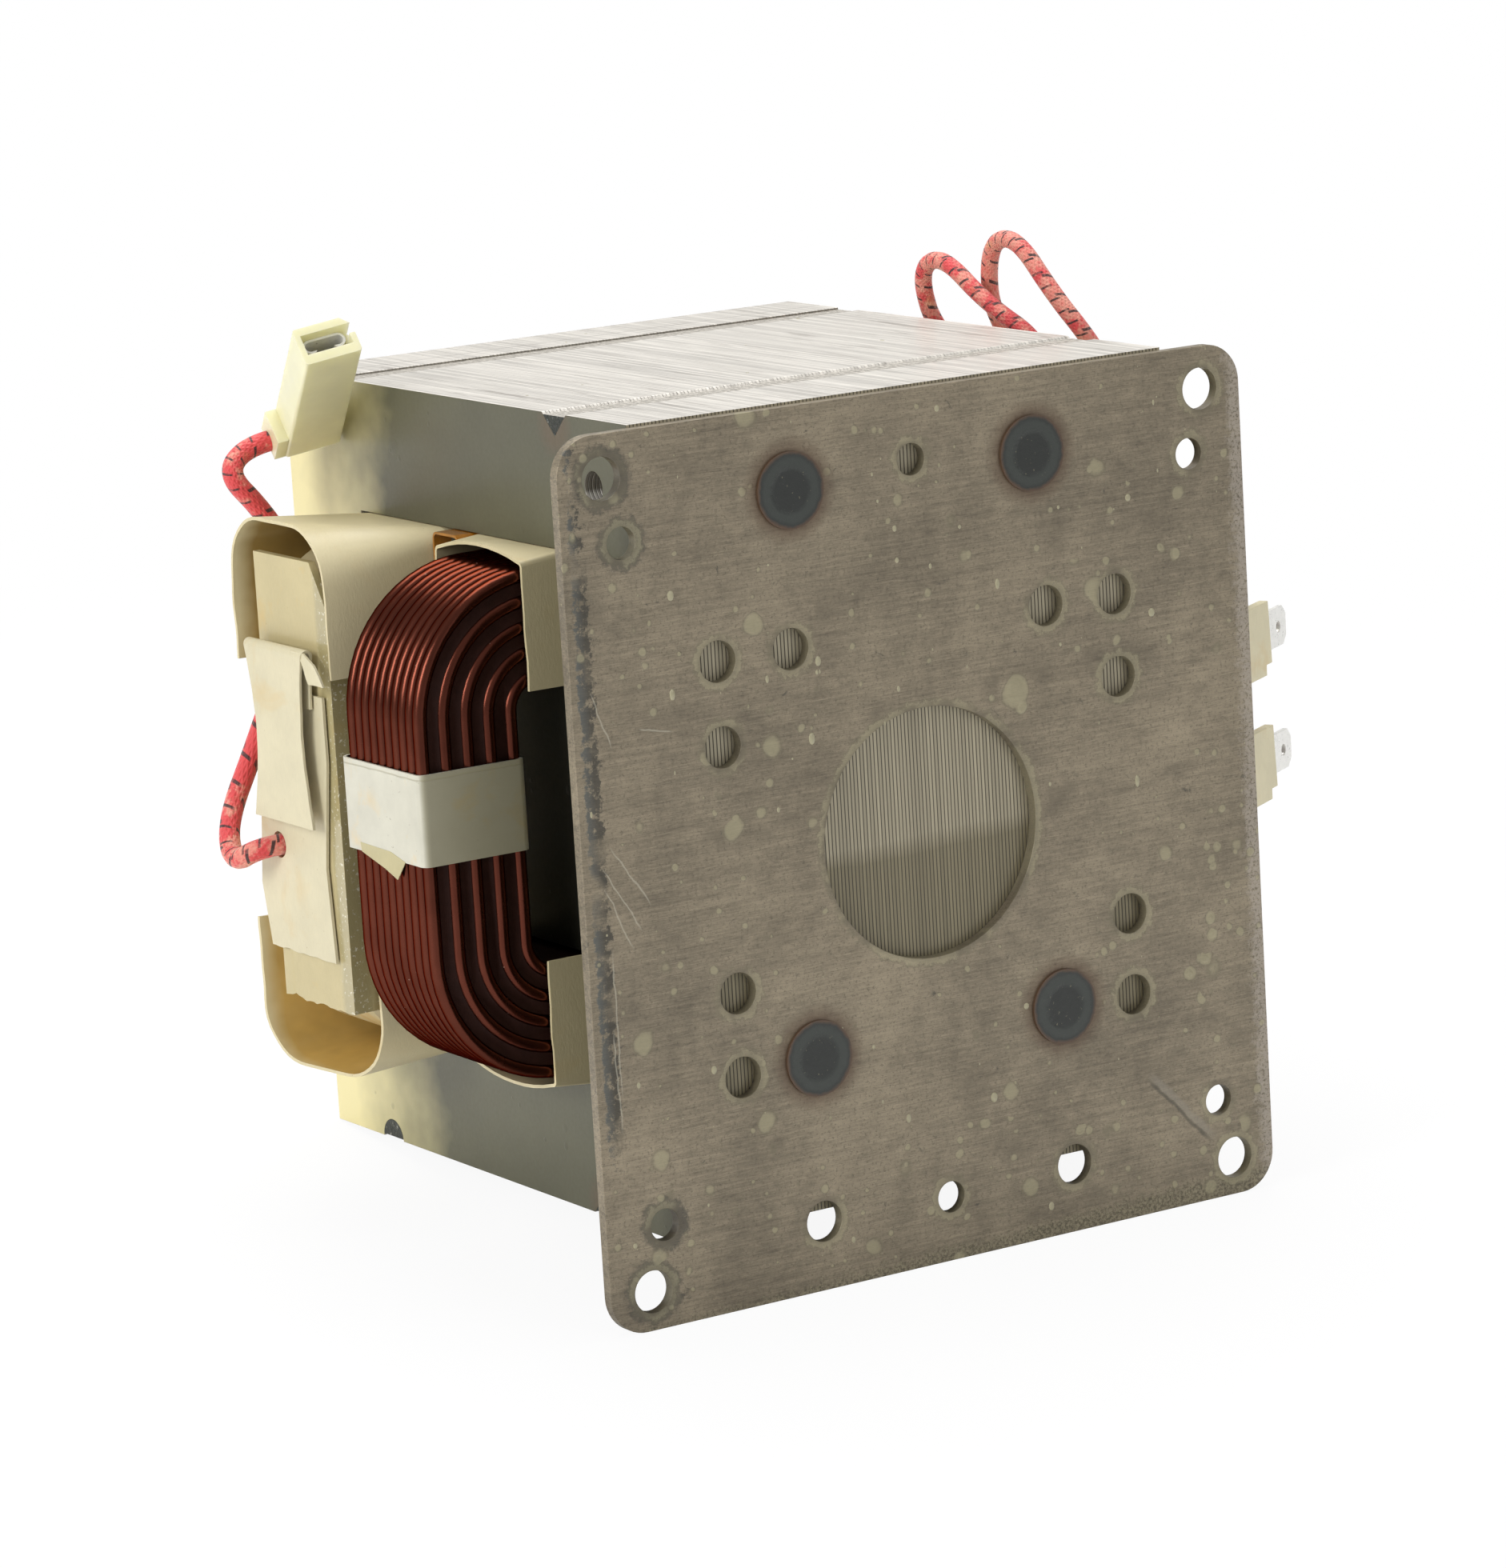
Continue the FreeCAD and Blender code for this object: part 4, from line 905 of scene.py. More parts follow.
def grown(tree, name, values, seed_mesh=None):
    """Runs a geometry tree on an object with these inputs and returns the plain result."""
    piece = new_object(name + "_source", seed_mesh or bpy.data.meshes.new(name + "_source"))
    nodes = piece.modifiers.new("nodes", "NODES")
    nodes.node_group = tree
    for item in tree.interface.items_tree:
        if item.in_out == "INPUT" and item.name in values:
            nodes[item.identifier] = values[item.name]
    return baked(piece, name)


def geometry_tree(name, inputs):
    """An empty geometry tree with named inputs; returns its tree, inputs and output node."""
    made = bpy.data.node_groups.new(name, "GeometryNodeTree")
    made.interface.new_socket(name="Geometry", in_out="INPUT", socket_type="NodeSocketGeometry")
    for label, kind in inputs:
        made.interface.new_socket(name=label, in_out="INPUT", socket_type=kind)
    made.interface.new_socket(name="Geometry", in_out="OUTPUT", socket_type="NodeSocketGeometry")
    tree = Tree(made, "GeometryNode")
    given = Made(tree, made.nodes.new("NodeGroupInput"))
    end = made.nodes.new("NodeGroupOutput")
    return tree, given, end.inputs[0]


def realized(tree, instances, material, end):
    """Ends a geometry tree: the instances made real, smooth and given their material."""
    real = tree.node("RealizeInstances", {"Geometry": instances})
    smooth = tree.node("SetShadeSmooth", {"Geometry": real[0], "Shade Smooth": True})
    tree.feed(end, tree.node("SetMaterial", {"Geometry": smooth[0], "Material": material})[0])


@once
def wires_tree():
    """Layers of round wire laid round the centre leg.

    The outermost layer has every turn; the ones under it have only their first and last.
    """
    counts = [(name, WHOLE) for name in ("Layers", "Turns")]
    sizes = [(name, FLOAT) for name in
             ("Wire", "Pitch", "Half width", "Half height", "Corner", "Front", "Rise")]
    tree, given, end = geometry_tree("Primary wires", counts + sizes + [("Material", MATERIAL)])
    first = tree.node("RepeatInput")
    last = tree.node("RepeatOutput")
    first.node.pair_with_output(last.node)
    last.node.repeat_items.new("INT", "Layer")
    tree.feed(first.inputs["Iterations"], given["Layers"])
    layer = first["Layer"]
    grow = layer * given["Pitch"]
    width = (given["Half width"] + grow) * 2.0
    height = (given["Half height"] + grow) * 2.0
    loop = tree.node("CurvePrimitiveQuadrilateral", {"Width": width, "Height": height})
    corner = given["Corner"] + grow
    bent = tree.node("FilletCurve", {"Curve": loop[0], "Radius": corner, "Count": 14}, mode="POLY")
    stood = tree.node("Transform", {"Geometry": bent[0], "Rotation": (math.pi / 2, 0, 0)})
    radius = given["Wire"] * 0.5
    section = tree.node("CurvePrimitiveCircle", {"Resolution": 20, "Radius": radius})
    wire = tree.node("CurveToMesh", {"Curve": stood[0], "Profile Curve": section[0]})
    outermost = given["Layers"] - 1.0
    outer = tree.math("COMPARE", layer, outermost)
    turns = tree.node("Switch", {"Switch": outer, "False": 2, "True": given["Turns"]}, input_type="INT")
    across = (given["Turns"] - 1.0) * given["Wire"]
    step = tree.node("Switch", {"Switch": outer, "False": across, "True": given["Wire"]}, input_type="FLOAT")
    odd = tree.math("MODULO", layer, 2.0) * radius
    start = tree.place(0, given["Front"] + odd, given["Rise"])
    way = tree.place(0, step[0])
    line = tree.node("MeshLine", {"Count": turns[0], "Start Location": start, "Offset": way})
    laid = tree.node("InstanceOnPoints", {"Points": line[0], "Instance": wire[0]})
    both = tree.node("JoinGeometry", {"Geometry": first["Geometry"]})
    tree.feed(both.inputs[0], laid[0])
    tree.feed(last.inputs["Geometry"], both[0])
    tree.feed(last.inputs["Layer"], layer + 1.0)
    realized(tree, last["Geometry"], given["Material"], end)
    return tree.tree


@once
def specks_tree():
    """Flattened drops scattered over the faces given, in drifts."""
    inputs = [("Density", FLOAT), ("Size", FLOAT), ("Seed", WHOLE), ("Material", MATERIAL)]
    tree, given, end = geometry_tree("Varnish specks", inputs)
    place = tree.node("InputPosition")[0]
    drift = tree.noise(place, 42.0, 2, 0.5).ramp(0.42, 0.68)
    density = given["Density"] * drift
    spread = tree.node("DistributePointsOnFaces", {"Mesh": given["Geometry"], "Density": density,
                                                   "Seed": given["Seed"]})
    drop = tree.node("MeshIcoSphere", {"Radius": 1.0, "Subdivisions": 2})
    chance = tree.node("FunctionNodeRandomValue", {2: 0.0, 3: 1.0}, data_type="FLOAT")[1]
    size = (tree.math("POWER", chance, 2.4) + 0.16) * given["Size"]
    smallest, largest = (0.55, 0.8, 0.12), (1.0, 1.5, 0.22)
    shape = tree.node("FunctionNodeRandomValue", {0: smallest, 1: largest}, data_type="FLOAT_VECTOR")
    scale = tree.node("ShaderNodeVectorMath", {0: shape[0], "Scale": size}, operation="SCALE")
    laid = tree.node("InstanceOnPoints", {"Points": spread["Points"], "Instance": drop[0],
                                          "Rotation": spread["Rotation"], "Scale": scale[0]})
    realized(tree, laid[0], given["Material"], end)
    return tree.tree


def facing(node, name, way, margin):
    """The faces of a CAD node that face one way, away from the node's rim."""
    mesh = merged_mesh(node, name)
    low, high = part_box(node)

    def cut(form):
        gone = [f for f in form.faces if f.normal.dot(way) < 0.99]
        bmesh.ops.delete(form, geom=gone, context="FACES")
        for vertex in form.verts:
            for axis in range(3):
                if abs(way[axis]) < 0.5:
                    inner = min(vertex.co[axis], high[axis] - margin)
                    vertex.co[axis] = max(inner, low[axis] + margin)

    reshaped(mesh, cut)
    return mesh


def sliced(form, axis, step):
    """Cuts a form across one axis into slices, so that its edges can wander."""
    places = [v.co[axis] for v in form.verts]
    low, high = min(places), max(places)
    normal = Vector([float(axis == i) for i in range(3)])
    for number in range(1, int((high - low) / step)):
        point = normal * (low + number * step)
        bmesh.ops.bisect_plane(form, geom=form.verts[:] + form.edges[:] + form.faces[:],
                               plane_co=point, plane_no=normal)


def torn(low_z, band, depth, across):
    """Returns a change that lifts a form's lower edge unevenly, as torn paper."""
    def change(form):
        sliced(form, across, 1.1 * MM)
        for vertex in form.verts:
            if vertex.co.z < low_z + band:
                place = Vector((0, 0, 0))
                place[across] = vertex.co[across] / MM
                lift = noise.noise(place * 0.33) * 0.5 + 0.5 + noise.noise(place * 1.1) * 0.2
                vertex.co.z += max(0, lift) * depth
    return change


# The channels' outlines in millimetres. Where a channel comes out of its window it widens
# from the first pair of sides to the second and its crown moves by the lift.
PAPER_THICK = 0.5 * MM
CROWNS = {TOP: 46.98, LOW: -34.06}
SECONDARY_SIDES, SECONDARY_FLARE = (56.4, 82.92), (54.7, 84.62)
SECONDARY_LIFT = {TOP: 2.9, LOW: 2.6}
SECONDARY_ENDS = {TOP: (70.5, 70.5), LOW: (66.0, 70.5)}
SECONDARY_RADII = 2.2, 9.5
PRIMARY_SIDES, PRIMARY_END = (22.4, 48.0), 54.9
PRIMARY_RADIUS, PRIMARY_DROP, PRIMARY_BOW = 1.0, 0.7, 1.6


def arch(near, far, open_z, crown, up, radius, bow):
    """One side of a U of paper as (y, z): legs, round corners and a crown."""
    turns = [math.pi / 2 * step / 10 for step in range(11)]
    side = [(radius * (1 - math.cos(t)), radius * (1 - math.sin(t))) for t in turns]
    flat = far - near - 2 * radius
    leg = crown - up * radius - open_z
    points = [(near, open_z + leg * part / 8) for part in range(8)]
    points += [(near + y, crown - up * z) for y, z in side]
    for part in [step / 8 for step in range(1, 8)]:
        points.append((near + radius + flat * part, crown + up * bow * 4 * part * (1 - part)))
    points += [(far - y, crown - up * z) for y, z in reversed(side)]
    points += [(far, open_z + leg * part / 8) for part in range(7, -1, -1)]
    return points


def channel(name, node, up, window, mouth, materials):
    """A U of paper through one window of the core, widened where it comes out at each side.

    window and mouth are (near y, far y, crown z, corner radius, bow), mouth with the x of
    its near and far ends as well. The inner faces have the second material.
    """
    thick = PAPER_THICK
    core_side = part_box("core_e_stack")[1].x
    node_low, node_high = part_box(node)
    open_z = node_low.z if up == TOP else node_high.z
    form = bmesh.new()
    rings = []
    ways = [(side, part) for side, part in
            [(RIGHT, p / 6) for p in range(6, -1, -1)] + [(LEFT, p / 6) for p in range(7)]]
    for side, part in ways:
        near, far, crown, radius, bow = [a + (b - a) * part for a, b in zip(window, mouth[:5])]
        near_x, far_x = mouth[5:]
        outline = arch(near, far, open_z, crown, up, radius, bow)
        inner = max(radius - thick, 0.05 * MM)
        inside = arch(near + thick, far - thick, open_z, crown - up * thick, up, inner, bow)
        ring = []
        for y, z in outline + inside[::-1]:
            end = near_x + (far_x - near_x) * min(max((y - near) / (far - near), 0), 1)
            x = core_side + (end - core_side) * part
            if part == 1:
                x -= (noise.noise(Vector((y, z, side)) * 180) * 0.5 + 0.5) * 0.5 * MM
            ring.append(form.verts.new((side * x, y, z)))
        rings.append(ring)
    count = len(rings[0])
    half = count // 2
    for before, after in zip(rings, rings[1:]):
        for here in range(count):
            then = (here + 1) % count
            face = form.faces.new((before[here], after[here], after[then], before[then]))
            face.material_index = int(half <= here < count - 1)
    for ring in (rings[0], rings[-1]):
        for here in range(half - 1):
            form.faces.new((ring[here], ring[here + 1], ring[count - 2 - here], ring[count - 1 - here]))
    bmesh.ops.recalc_face_normals(form, faces=form.faces)
    piece = formed(name, form, materials)
    smoothed(piece.data, 50)
    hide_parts(node)
    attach(piece, "root")
    return piece


# Operators, one for each piece or group of like pieces


class TRANSFORMER_OT_plate(bpy.types.Operator):
    """Dresses the base plate, its plug welds and the drips on it."""
    bl_idname = "transformer.plate"
    bl_label = "Base plate"

    def execute(self, context):
        look = context.scene.plate_look
        steel = plate_material(look)
        dressed("base_plate", "plate", steel, look.rim)
        weld = plug_material(look)
        for name in [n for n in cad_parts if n.startswith("plug_weld")]:
            dressed(name, name.replace("weld", "bead"), weld, 0.0, 40)
        resin = resin_material(look)
        front = facing("base_plate", "plate_front", Vector((0, -1, 0)), 0.8 * MM)
        values = {"Density": float(look.specks), "Size": 0.62 * MM, "Seed": 4, "Material": resin}
        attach(grown(specks_tree(), "plate_drips", values, front), "root")
        return {"FINISHED"}


class TRANSFORMER_OT_core(bpy.types.Operator):
    """Dresses the two lamination stacks and their weld beads."""
    bl_idname = "transformer.core"
    bl_label = "Core"

    def execute(self, context):
        look = context.scene.core_look
        steel = core_material(look)
        dressed("core_i_stack", "yoke", steel, 0.12 * MM)
        dressed("core_e_stack", "legs", steel, 0.12 * MM)
        bead = bead_material(context.scene.plate_look)
        for name in [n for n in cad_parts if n.startswith("weld_bead")]:
            dressed(name, name.replace("weld_bead", "bead"), bead, 0.0, 40)
        resin = resin_material(context.scene.plate_look)
        top = facing("core_e_stack", "legs_top", Vector((0, 0, 1)), 1.0 * MM)
        values = {"Density": float(look.specks), "Size": 0.4 * MM, "Seed": 9, "Material": resin}
        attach(grown(specks_tree(), "core_drips", values, top), "root")
        return {"FINISHED"}


class TRANSFORMER_OT_primary(bpy.types.Operator):
    """Lays the primary's wires over its varnished body."""
    bl_idname = "transformer.primary"
    bl_label = "Primary winding"

    def execute(self, context):
        look = context.scene.winding_look
        dressed("primary_winding", "primary_varnish", valley_material(look), 0.0, 35, self.draw_in)
        low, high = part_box("primary_winding")
        build_up = (look.layers - 1) * look.pitch
        reach = look.wire / 2 + build_up
        values = {
            "Layers": look.layers, "Turns": look.turns, "Wire": look.wire, "Pitch": look.pitch,
            "Half width": high.x - reach, "Half height": (high.z - low.z) / 2 - reach,
            "Corner": 5 * MM, "Front": low.y + look.wire / 2, "Rise": (high.z + low.z) / 2,
            "Material": enamel_material(look),
        }
        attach(grown(wires_tree(), "primary_wires", values), "root")
        return {"FINISHED"}

    def draw_in(self, form):
        """Sinks the varnish a little, so that the round wires stand clear of it."""
        form.normal_update()
        moves = [(vertex, vertex.normal * 0.12 * MM) for vertex in form.verts]
        for vertex, move in moves:
            vertex.co -= move


class TRANSFORMER_OT_insulation(bpy.types.Operator):
    """Dresses the papers, sleeves, covers, strips and the tape band."""
    bl_idname = "transformer.insulation"
    bl_label = "Insulation"

    def execute(self, context):
        look = context.scene.paper_look
        self.papers(look)
        wrap = paper_material("wrapping paper", look.wrap, look.soaked, 0.6, 0.5, glazed=57.8)
        for side in ("left", "right"):
            node = "secondary_cover_" + side
            low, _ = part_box(node)
            dressed(node, "cover_" + side, wrap, 0.35 * MM, 30, torn(low.z, 1 * MM, 1.8 * MM, 1))
        strip = paper_material("strip paper", look.strip, look.soaked, 0.35, sheen=0.25)
        low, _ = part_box("lead_strip")
        dressed("lead_strip", "lead_strip_paper", strip, 0.1 * MM, 30, torn(low.z, 1 * MM, 0.7 * MM, 1))
        dressed("lead_fold", "lead_fold_paper", strip, 0.1 * MM, 30, self.waist)
        self.flap(strip)
        self.tape(look)
        amber = amber_material(look)
        for up in ("top", "low"):
            dressed("shunt_sleeve_" + up, "sleeve_" + up, amber, 0.0, 30)
            dressed("magnetic_shunt_" + up, "shunt_" + up, core_steel(), 0.1 * MM)
        return {"FINISHED"}

    def papers(self, look):
        """The stiff papers round the primary and the deep channels round the secondary."""
        # The slot paper's faces towards the plate are paler as painted light, the primary paper's darker as
        # painted shade
        paper = paper_material("slot paper", look.paper, look.soaked, 0.3, facing=linear("#ebdfb6"))
        thin = paper_material("primary paper", look.paper, look.soaked, 0.3, facing=linear("#8d8468"))
        inside = soaked_material(look)
        for up, end in ((TOP, "top"), (LOW, "low")):
            crown = CROWNS[up]
            radius, mouth_radius = SECONDARY_RADII
            lifted = crown + up * SECONDARY_LIFT[up]
            window = (*SECONDARY_SIDES, crown, radius, 0.0)
            mouth = (*SECONDARY_FLARE, lifted, mouth_radius, 0.0, *SECONDARY_ENDS[up])
            self.lay("channel_", "secondary_slot_paper_", up, end, window, mouth, (paper, inside))
            lowered = crown - up * PRIMARY_DROP
            window = (*PRIMARY_SIDES, crown, PRIMARY_RADIUS, 0.0)
            mouth = (*PRIMARY_SIDES, lowered, PRIMARY_RADIUS, PRIMARY_BOW, PRIMARY_END, PRIMARY_END)
            self.lay("slot_paper_", "primary_slot_paper_", up, end, window, mouth, (thin, thin))

    def lay(self, name, node, up, end, window, mouth, materials):
        """A channel whose outlines are given in millimetres."""
        window, mouth = [v * MM for v in window], [v * MM for v in mouth]
        channel(name + end, node + end, up, window, mouth, materials)

    def waist(self, form):
        """Draws the folded strip's near edge in between its ends."""
        low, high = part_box("lead_fold")
        sliced(form, 2, 1.2 * MM)
        for vertex in form.verts:
            down = (high.z - vertex.co.z) / (high.z - low.z)
            near = (high.y - vertex.co.y) / (high.y - low.y)
            wave = noise.noise(Vector((0, near * 2, vertex.co.z / MM * 0.25))) * 0.25 * MM
            draw = math.sin(min(max(down, 0), 1) * math.pi)
            vertex.co.y += near * (draw * 1.6 * MM + wave)
            vertex.co.y -= (1 - near) * (draw * 2.4 * MM + wave)

    def flap(self, paper):
        """The folded strip's near top corner, curled over and hanging free."""
        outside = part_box("lead_fold")[0].x / MM + 0.1
        outer = ((62.0, 31.2), (58.4, 31.0), (55.6, 29.4), (54.4, 27.6), (53.9, 26.2))
        inner = ((60.6, 30.4), (58.6, 29.8), (58.0, 28.6), (57.5, 27.4), (56.9, 26.5))
        form = bmesh.new()
        rows = []
        for step, (far, near) in enumerate(zip(inner, outer)):
            row = []
            for part in range(7):
                share = part / 6
                y = far[0] + (near[0] - far[0]) * share
                z = far[1] + (near[1] - far[1]) * share
                curl = math.sin(share * math.pi * 0.5) * step * 0.22
                row.append((outside + curl, y, z))
            rows.append(row)
        skins = []
        for shift in (0.0, 0.35):
            places = [[((x + shift) * MM, y * MM, z * MM) for x, y, z in row] for row in rows]
            skins.append([[form.verts.new(place) for place in row] for row in places])
        for skin in skins:
            for above, below in zip(skin, skin[1:]):
                for here in range(6):
                    form.faces.new((above[here], above[here + 1], below[here + 1], below[here]))
        front, back = skins
        rims = [[row[0] for row in front], [row[-1] for row in front], front[0], front[-1]]
        behinds = [[row[0] for row in back], [row[-1] for row in back], back[0], back[-1]]
        for rim, behind in zip(rims, behinds):
            for here in range(len(rim) - 1):
                form.faces.new((rim[here], rim[here + 1], behind[here + 1], behind[here]))
        bmesh.ops.recalc_face_normals(form, faces=form.faces)
        piece = formed("lead_fold_flap", form, [paper])
        smoothed(piece.data, 50)
        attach(piece, "root")

    def tape(self, look):
        """The tape band with soft corners, its second turn and its dirty loose end."""
        tape = tape_material(look)

        def soften(form):
            upright = [e for e in form.edges if abs((e.verts[0].co - e.verts[1].co).normalized().z) > 0.99]
            bmesh.ops.bevel(form, geom=upright, offset=1.3 * MM, segments=6, profile=0.5, affect="EDGES")

        dressed("primary_tape", "tape_band", tape, 0.08 * MM, 30, soften)
        form = bmesh.new()
        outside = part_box("primary_tape")[0].x - 0.04 * MM
        outline = ((42.1, 4.6), (33.0, 4.4), (28.7, 3.4), (30.5, 0.6), (34.5, 1.7), (41.8, 3.2))
        corners = [(outside, y * MM, z * MM) for y, z in outline]
        lifted = [(x - 0.5 * MM * max(0, 3.2 * MM - z) / (2.6 * MM), y, z) for x, y, z in corners]
        front = [form.verts.new(c) for c in lifted]
        back = [form.verts.new((c[0] + 0.12 * MM, c[1], c[2])) for c in lifted]
        form.faces.new(front)
        form.faces.new(back[::-1])
        for here in range(len(front)):
            then = (here + 1) % len(front)
            form.faces.new((front[then], front[here], back[here], back[then]))
        bmesh.ops.recalc_face_normals(form, faces=form.faces)
        dirty = paper_material("dirty tape", linear("#b5ab80"), linear("#6f6540"), 0.9, sheen=0.3)
        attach(formed("tape_tail", form, [dirty]), "root")


def core_steel():
    return bpy.data.materials["varnished laminations"]


class TRANSFORMER_OT_secondary(bpy.types.Operator):
    """Dresses the secondary and the filament winding beside it."""
    bl_idname = "transformer.secondary"
    bl_label = "Secondary winding"

    def execute(self, context):
        look = context.scene.paper_look
        wrap = paper_material("secondary wrap", look.paper, look.soaked, 0.9, sheen=0.6)
        dressed("secondary_winding", "secondary", wrap, 0.0, 30)
        dressed("filament_winding", "filament", wrap, 0.4 * MM, 30)
        return {"FINISHED"}


LEAD_ROUTE = [
    (-69.9, 74.6, -1.0), (-74.5, 74.6, -1.0), (-76.6, 79.2, -3.8), (-74.4, 84.4, 1.8), (-66.4, 88.6, 11.8),
    (-59.0, 89.2, 26.4), (-56.8, 89.4, 40.6), (-61.8, 89.6, 48.8), (-66.8, 90.2, 54.6), (-63.0, 91.2, 58.2),
    (-58.7, 90.4, 58.9),
]
ARCH_LOW_ROUTE = [
    (69.9, 74.0, 12.0), (77.5, 74.0, 12.0), (80.6, 75.2, 26.0), (77.0, 75.6, 49.6), (55.6, 73.6, 62.4),
    (52.4, 73.6, 73.8), (53.4, 68.2, 77.0), (54.6, 57.6, 69.4), (58.2, 48.0, 63.6), (58.2, 48.0, 59.2),
]
ARCH_HIGH_ROUTE = [
    (69.9, 64.0, 2.0), (77.9, 64.0, 2.0), (82.4, 63.6, 18.0), (77.2, 63.2, 46.0), (59.4, 63.4, 64.6),
    (57.8, 61.4, 78.2), (58.4, 54.4, 80.4), (59.6, 46.0, 71.0), (62.8, 41.2, 63.8), (72.5, 45.5, 52.5),
    (77.65, 53.8, 42.4), (77.65, 53.8, 38.0),
]


def lead_curve(name, route, diameter):
    """A smooth lead along a given route, in millimetres."""
    curve = bpy.data.curves.new(name, "CURVE")
    curve.dimensions = "3D"
    curve.bevel_depth = diameter / 2
    curve.bevel_resolution = 5
    curve.use_fill_caps = True
    spline = curve.splines.new("NURBS")
    spline.points.add(len(route) - 1)
    for point, place in zip(spline.points, route):
        point.co = (*(v * MM for v in place), 1)
    spline.order_u = 3
    spline.use_endpoint_u = True
    spline.resolution_u = 12
    return new_object(name, curve)


class TRANSFORMER_OT_leads(bpy.types.Operator):
    """Runs the three braided leads and dresses their connectors."""
    bl_idname = "transformer.leads"
    bl_label = "Leads"

    def execute(self, context):
        look = context.scene.lead_look
        nylon, tin = nylon_material(look), tin_material(look)
        leads = (
            ("high_voltage", "", LEAD_ROUTE, look.heavy, 0.0865, 0.25),
            ("filament", "_low", ARCH_LOW_ROUTE, look.light, 0.1135, 0.6),
            ("filament", "_high", ARCH_HIGH_ROUTE, look.light, 0.1510, 0.95),
        )
        for kind, end, route, diameter, length, wear in leads:
            housing = dressed(kind + "_housing" + end, kind + "_shell" + end, nylon, 0.12 * MM)
            terminal = dressed(kind + "_receptacle" + end, kind + "_terminal" + end, tin, 0.05 * MM)
            lead = lead_curve(kind + "_braid" + end, route, diameter)
            lead.data.materials.append(braid_material(kind + " braid" + end, look, diameter, length, wear))
            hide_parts(kind + "_lead" + end)
            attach(lead, "root")
            start = tuple(v * MM for v in route[0])
        return {"FINISHED"}


class TRANSFORMER_OT_tabs(bpy.types.Operator):
    """Dresses the mains tabs and their boards."""
    bl_idname = "transformer.tabs"
    bl_label = "Mains tabs"

    def execute(self, context):
        look = context.scene.paper_look
        board = paper_material("tab board", look.board, look.soaked, 0.4)
        for up in ("high", "low"):
            dressed("terminal_board_" + up, "board_" + up, board, 0.15 * MM)
            dressed("mains_tab_" + up, "tab_" + up, bpy.data.materials["tinned brass"], 0.08 * MM)
        return {"FINISHED"}


def soft_box(name, place, size, power):
    """An area light aimed at the middle of the transformer."""
    lamp = bpy.data.lights.new(name, "AREA")
    lamp.shape = "RECTANGLE"
    lamp.size, lamp.size_y = size
    lamp.energy = power
    made = new_object(name, lamp)
    made.location = place
    aim = Vector((0, 0.05, 0)) - Vector(place)
    made.rotation_euler = aim.to_track_quat("-Z", "Y").to_euler()
    return made


def in_view(tree):
    """1 for rays that come from the camera, straight or through clear pieces."""
    path = tree.node("LightPath")
    return tree.highest(path["Is Camera Ray"], path["Is Transmission Ray"])


def floor_material(look):
    """A pale floor that shows near white and keeps a faint shadow."""
    made, tree, surface = new_material("pale floor")
    place = millimetres(tree)
    cloud = tree.noise(place, 0.01, 2)
    base = Vector(look.floor)
    surface(base_color=tree.mix(cloud, base * 0.9, base * 0.92), roughness=0.9)
    glow = tree.node("Emission", {"Color": base, "Strength": 1.0})
    seen = in_view(tree)
    away = tree.vector("DISTANCE", place, (0, 60, -66))
    share = away.ramp(150, 380, 0.92, 1.0)
    shader = Made(tree, made.node_tree.nodes["Principled BSDF"])
    both = tree.node("MixShader", {0: seen * share, 1: shader[0], 2: glow[0]})
    tree.feed(made.node_tree.nodes["Material Output"].inputs[0], both[0])
    return made


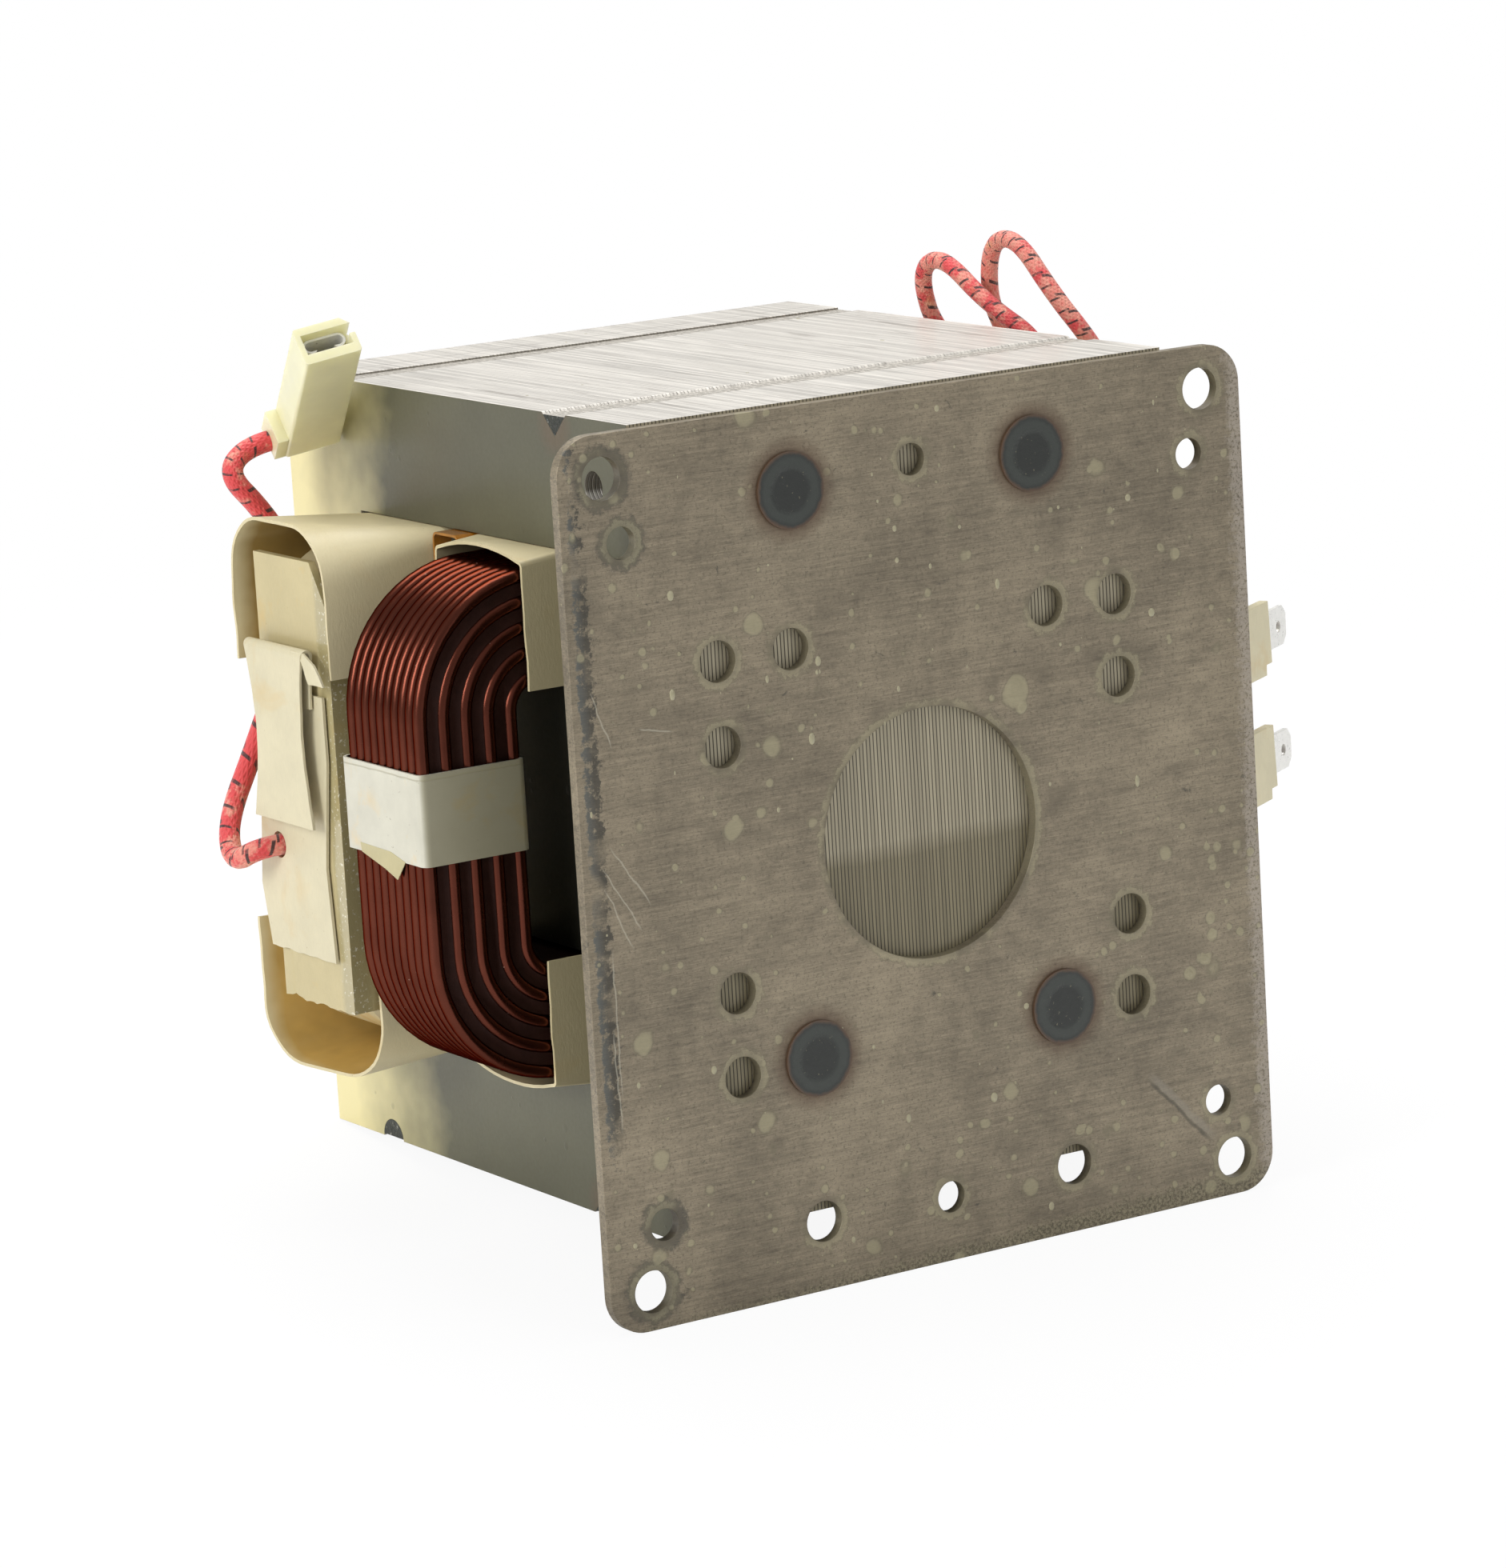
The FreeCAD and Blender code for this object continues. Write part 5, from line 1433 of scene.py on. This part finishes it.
class TRANSFORMER_OT_stage(bpy.types.Operator):
    """Sets the floor, the lights, the world and the camera."""
    bl_idname = "transformer.stage"
    bl_label = "Stage"

    def execute(self, context):
        look = context.scene.stage_look
        scene = context.scene
        lens = bpy.data.cameras.new("camera")
        lens.lens = CAMERA_LENS
        lens.sensor_width = CAMERA_SENSOR
        lens.sensor_height = CAMERA_SENSOR
        lens.sensor_fit = "AUTO"
        lens.clip_start, lens.clip_end = 0.05, 20
        camera = new_object("camera", lens)
        camera.location = CAMERA_PLACE
        camera.rotation_euler = Euler([math.radians(v) for v in CAMERA_TURN], "XYZ")
        scene.camera = camera
        self.floor(look)
        world = bpy.data.worlds.new("studio")
        scene.world = world
        world.use_nodes = True
        tree = Tree(world.node_tree)
        back = world.node_tree.nodes["Background"]
        tree.feed(back.inputs["Color"], look.floor)
        tree.feed(back.inputs["Strength"], in_view(tree).ramp(0, 1, look.ambient, 1.0))
        soft_box("key_light", (-0.82, -0.13, 0.36), (0.3, 0.42), look.key)
        soft_box("top_light", (0.1, 0.25, 0.8), (0.6, 0.6), look.top)
        soft_box("fill_light", (0.35, -0.9, 0.35), (0.6, 0.6), look.fill)
        scene.view_settings.view_transform = "Standard"
        return {"FINISHED"}

    def floor(self, look):
        """A floor under the plate's lower edge and the core's far lower edge."""
        plate_low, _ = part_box("base_plate")
        core_low, core_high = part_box("core_e_stack")
        slope = (core_low.z - plate_low.z) / core_high.y
        reach = 1.6
        form = bmesh.new()
        corners = []
        for x, y in ((-reach, -reach), (reach, -reach), (reach, reach), (-reach, reach)):
            corners.append(form.verts.new((x, y, plate_low.z + slope * y - 0.05 * MM)))
        form.faces.new(corners)
        formed("floor", form, [floor_material(look)])


class TRANSFORMER_PT_parts(bpy.types.Panel):
    """Lists the pieces of the transformer."""
    bl_label = "Transformer"
    bl_idname = "TRANSFORMER_PT_parts"
    bl_space_type = "VIEW_3D"
    bl_region_type = "UI"
    bl_category = "Transformer"

    def draw(self, context):
        for operator in OPERATORS:
            self.layout.operator(operator.bl_idname)
        for name in LOOKS:
            box = self.layout.box()
            look = getattr(context.scene, name)
            for key in look.__annotations__:
                box.prop(look, key)


OPERATORS = (
    TRANSFORMER_OT_stage, TRANSFORMER_OT_core, TRANSFORMER_OT_plate, TRANSFORMER_OT_primary,
    TRANSFORMER_OT_secondary, TRANSFORMER_OT_insulation, TRANSFORMER_OT_leads, TRANSFORMER_OT_tabs,
)
LOOKS = {
    "plate_look": PlateLook, "core_look": CoreLook, "winding_look": WindingLook,
    "paper_look": PaperLook, "lead_look": LeadLook, "stage_look": StageLook,
}
CLASSES = (*LOOKS.values(), *OPERATORS, TRANSFORMER_PT_parts)


def register():
    for part in CLASSES:
        bpy.utils.register_class(part)
    for name, look in LOOKS.items():
        setattr(bpy.types.Scene, name, PointerProperty(type=look))


def unregister():
    for name in LOOKS:
        delattr(bpy.types.Scene, name)
    for part in reversed(CLASSES):
        bpy.utils.unregister_class(part)


def main():
    register()
    for operator in OPERATORS:
        group, name = operator.bl_idname.split(".")
        getattr(getattr(bpy.ops, group), name)()
    bpy.context.view_layer.update()


if __name__ == "__main__":
    main()
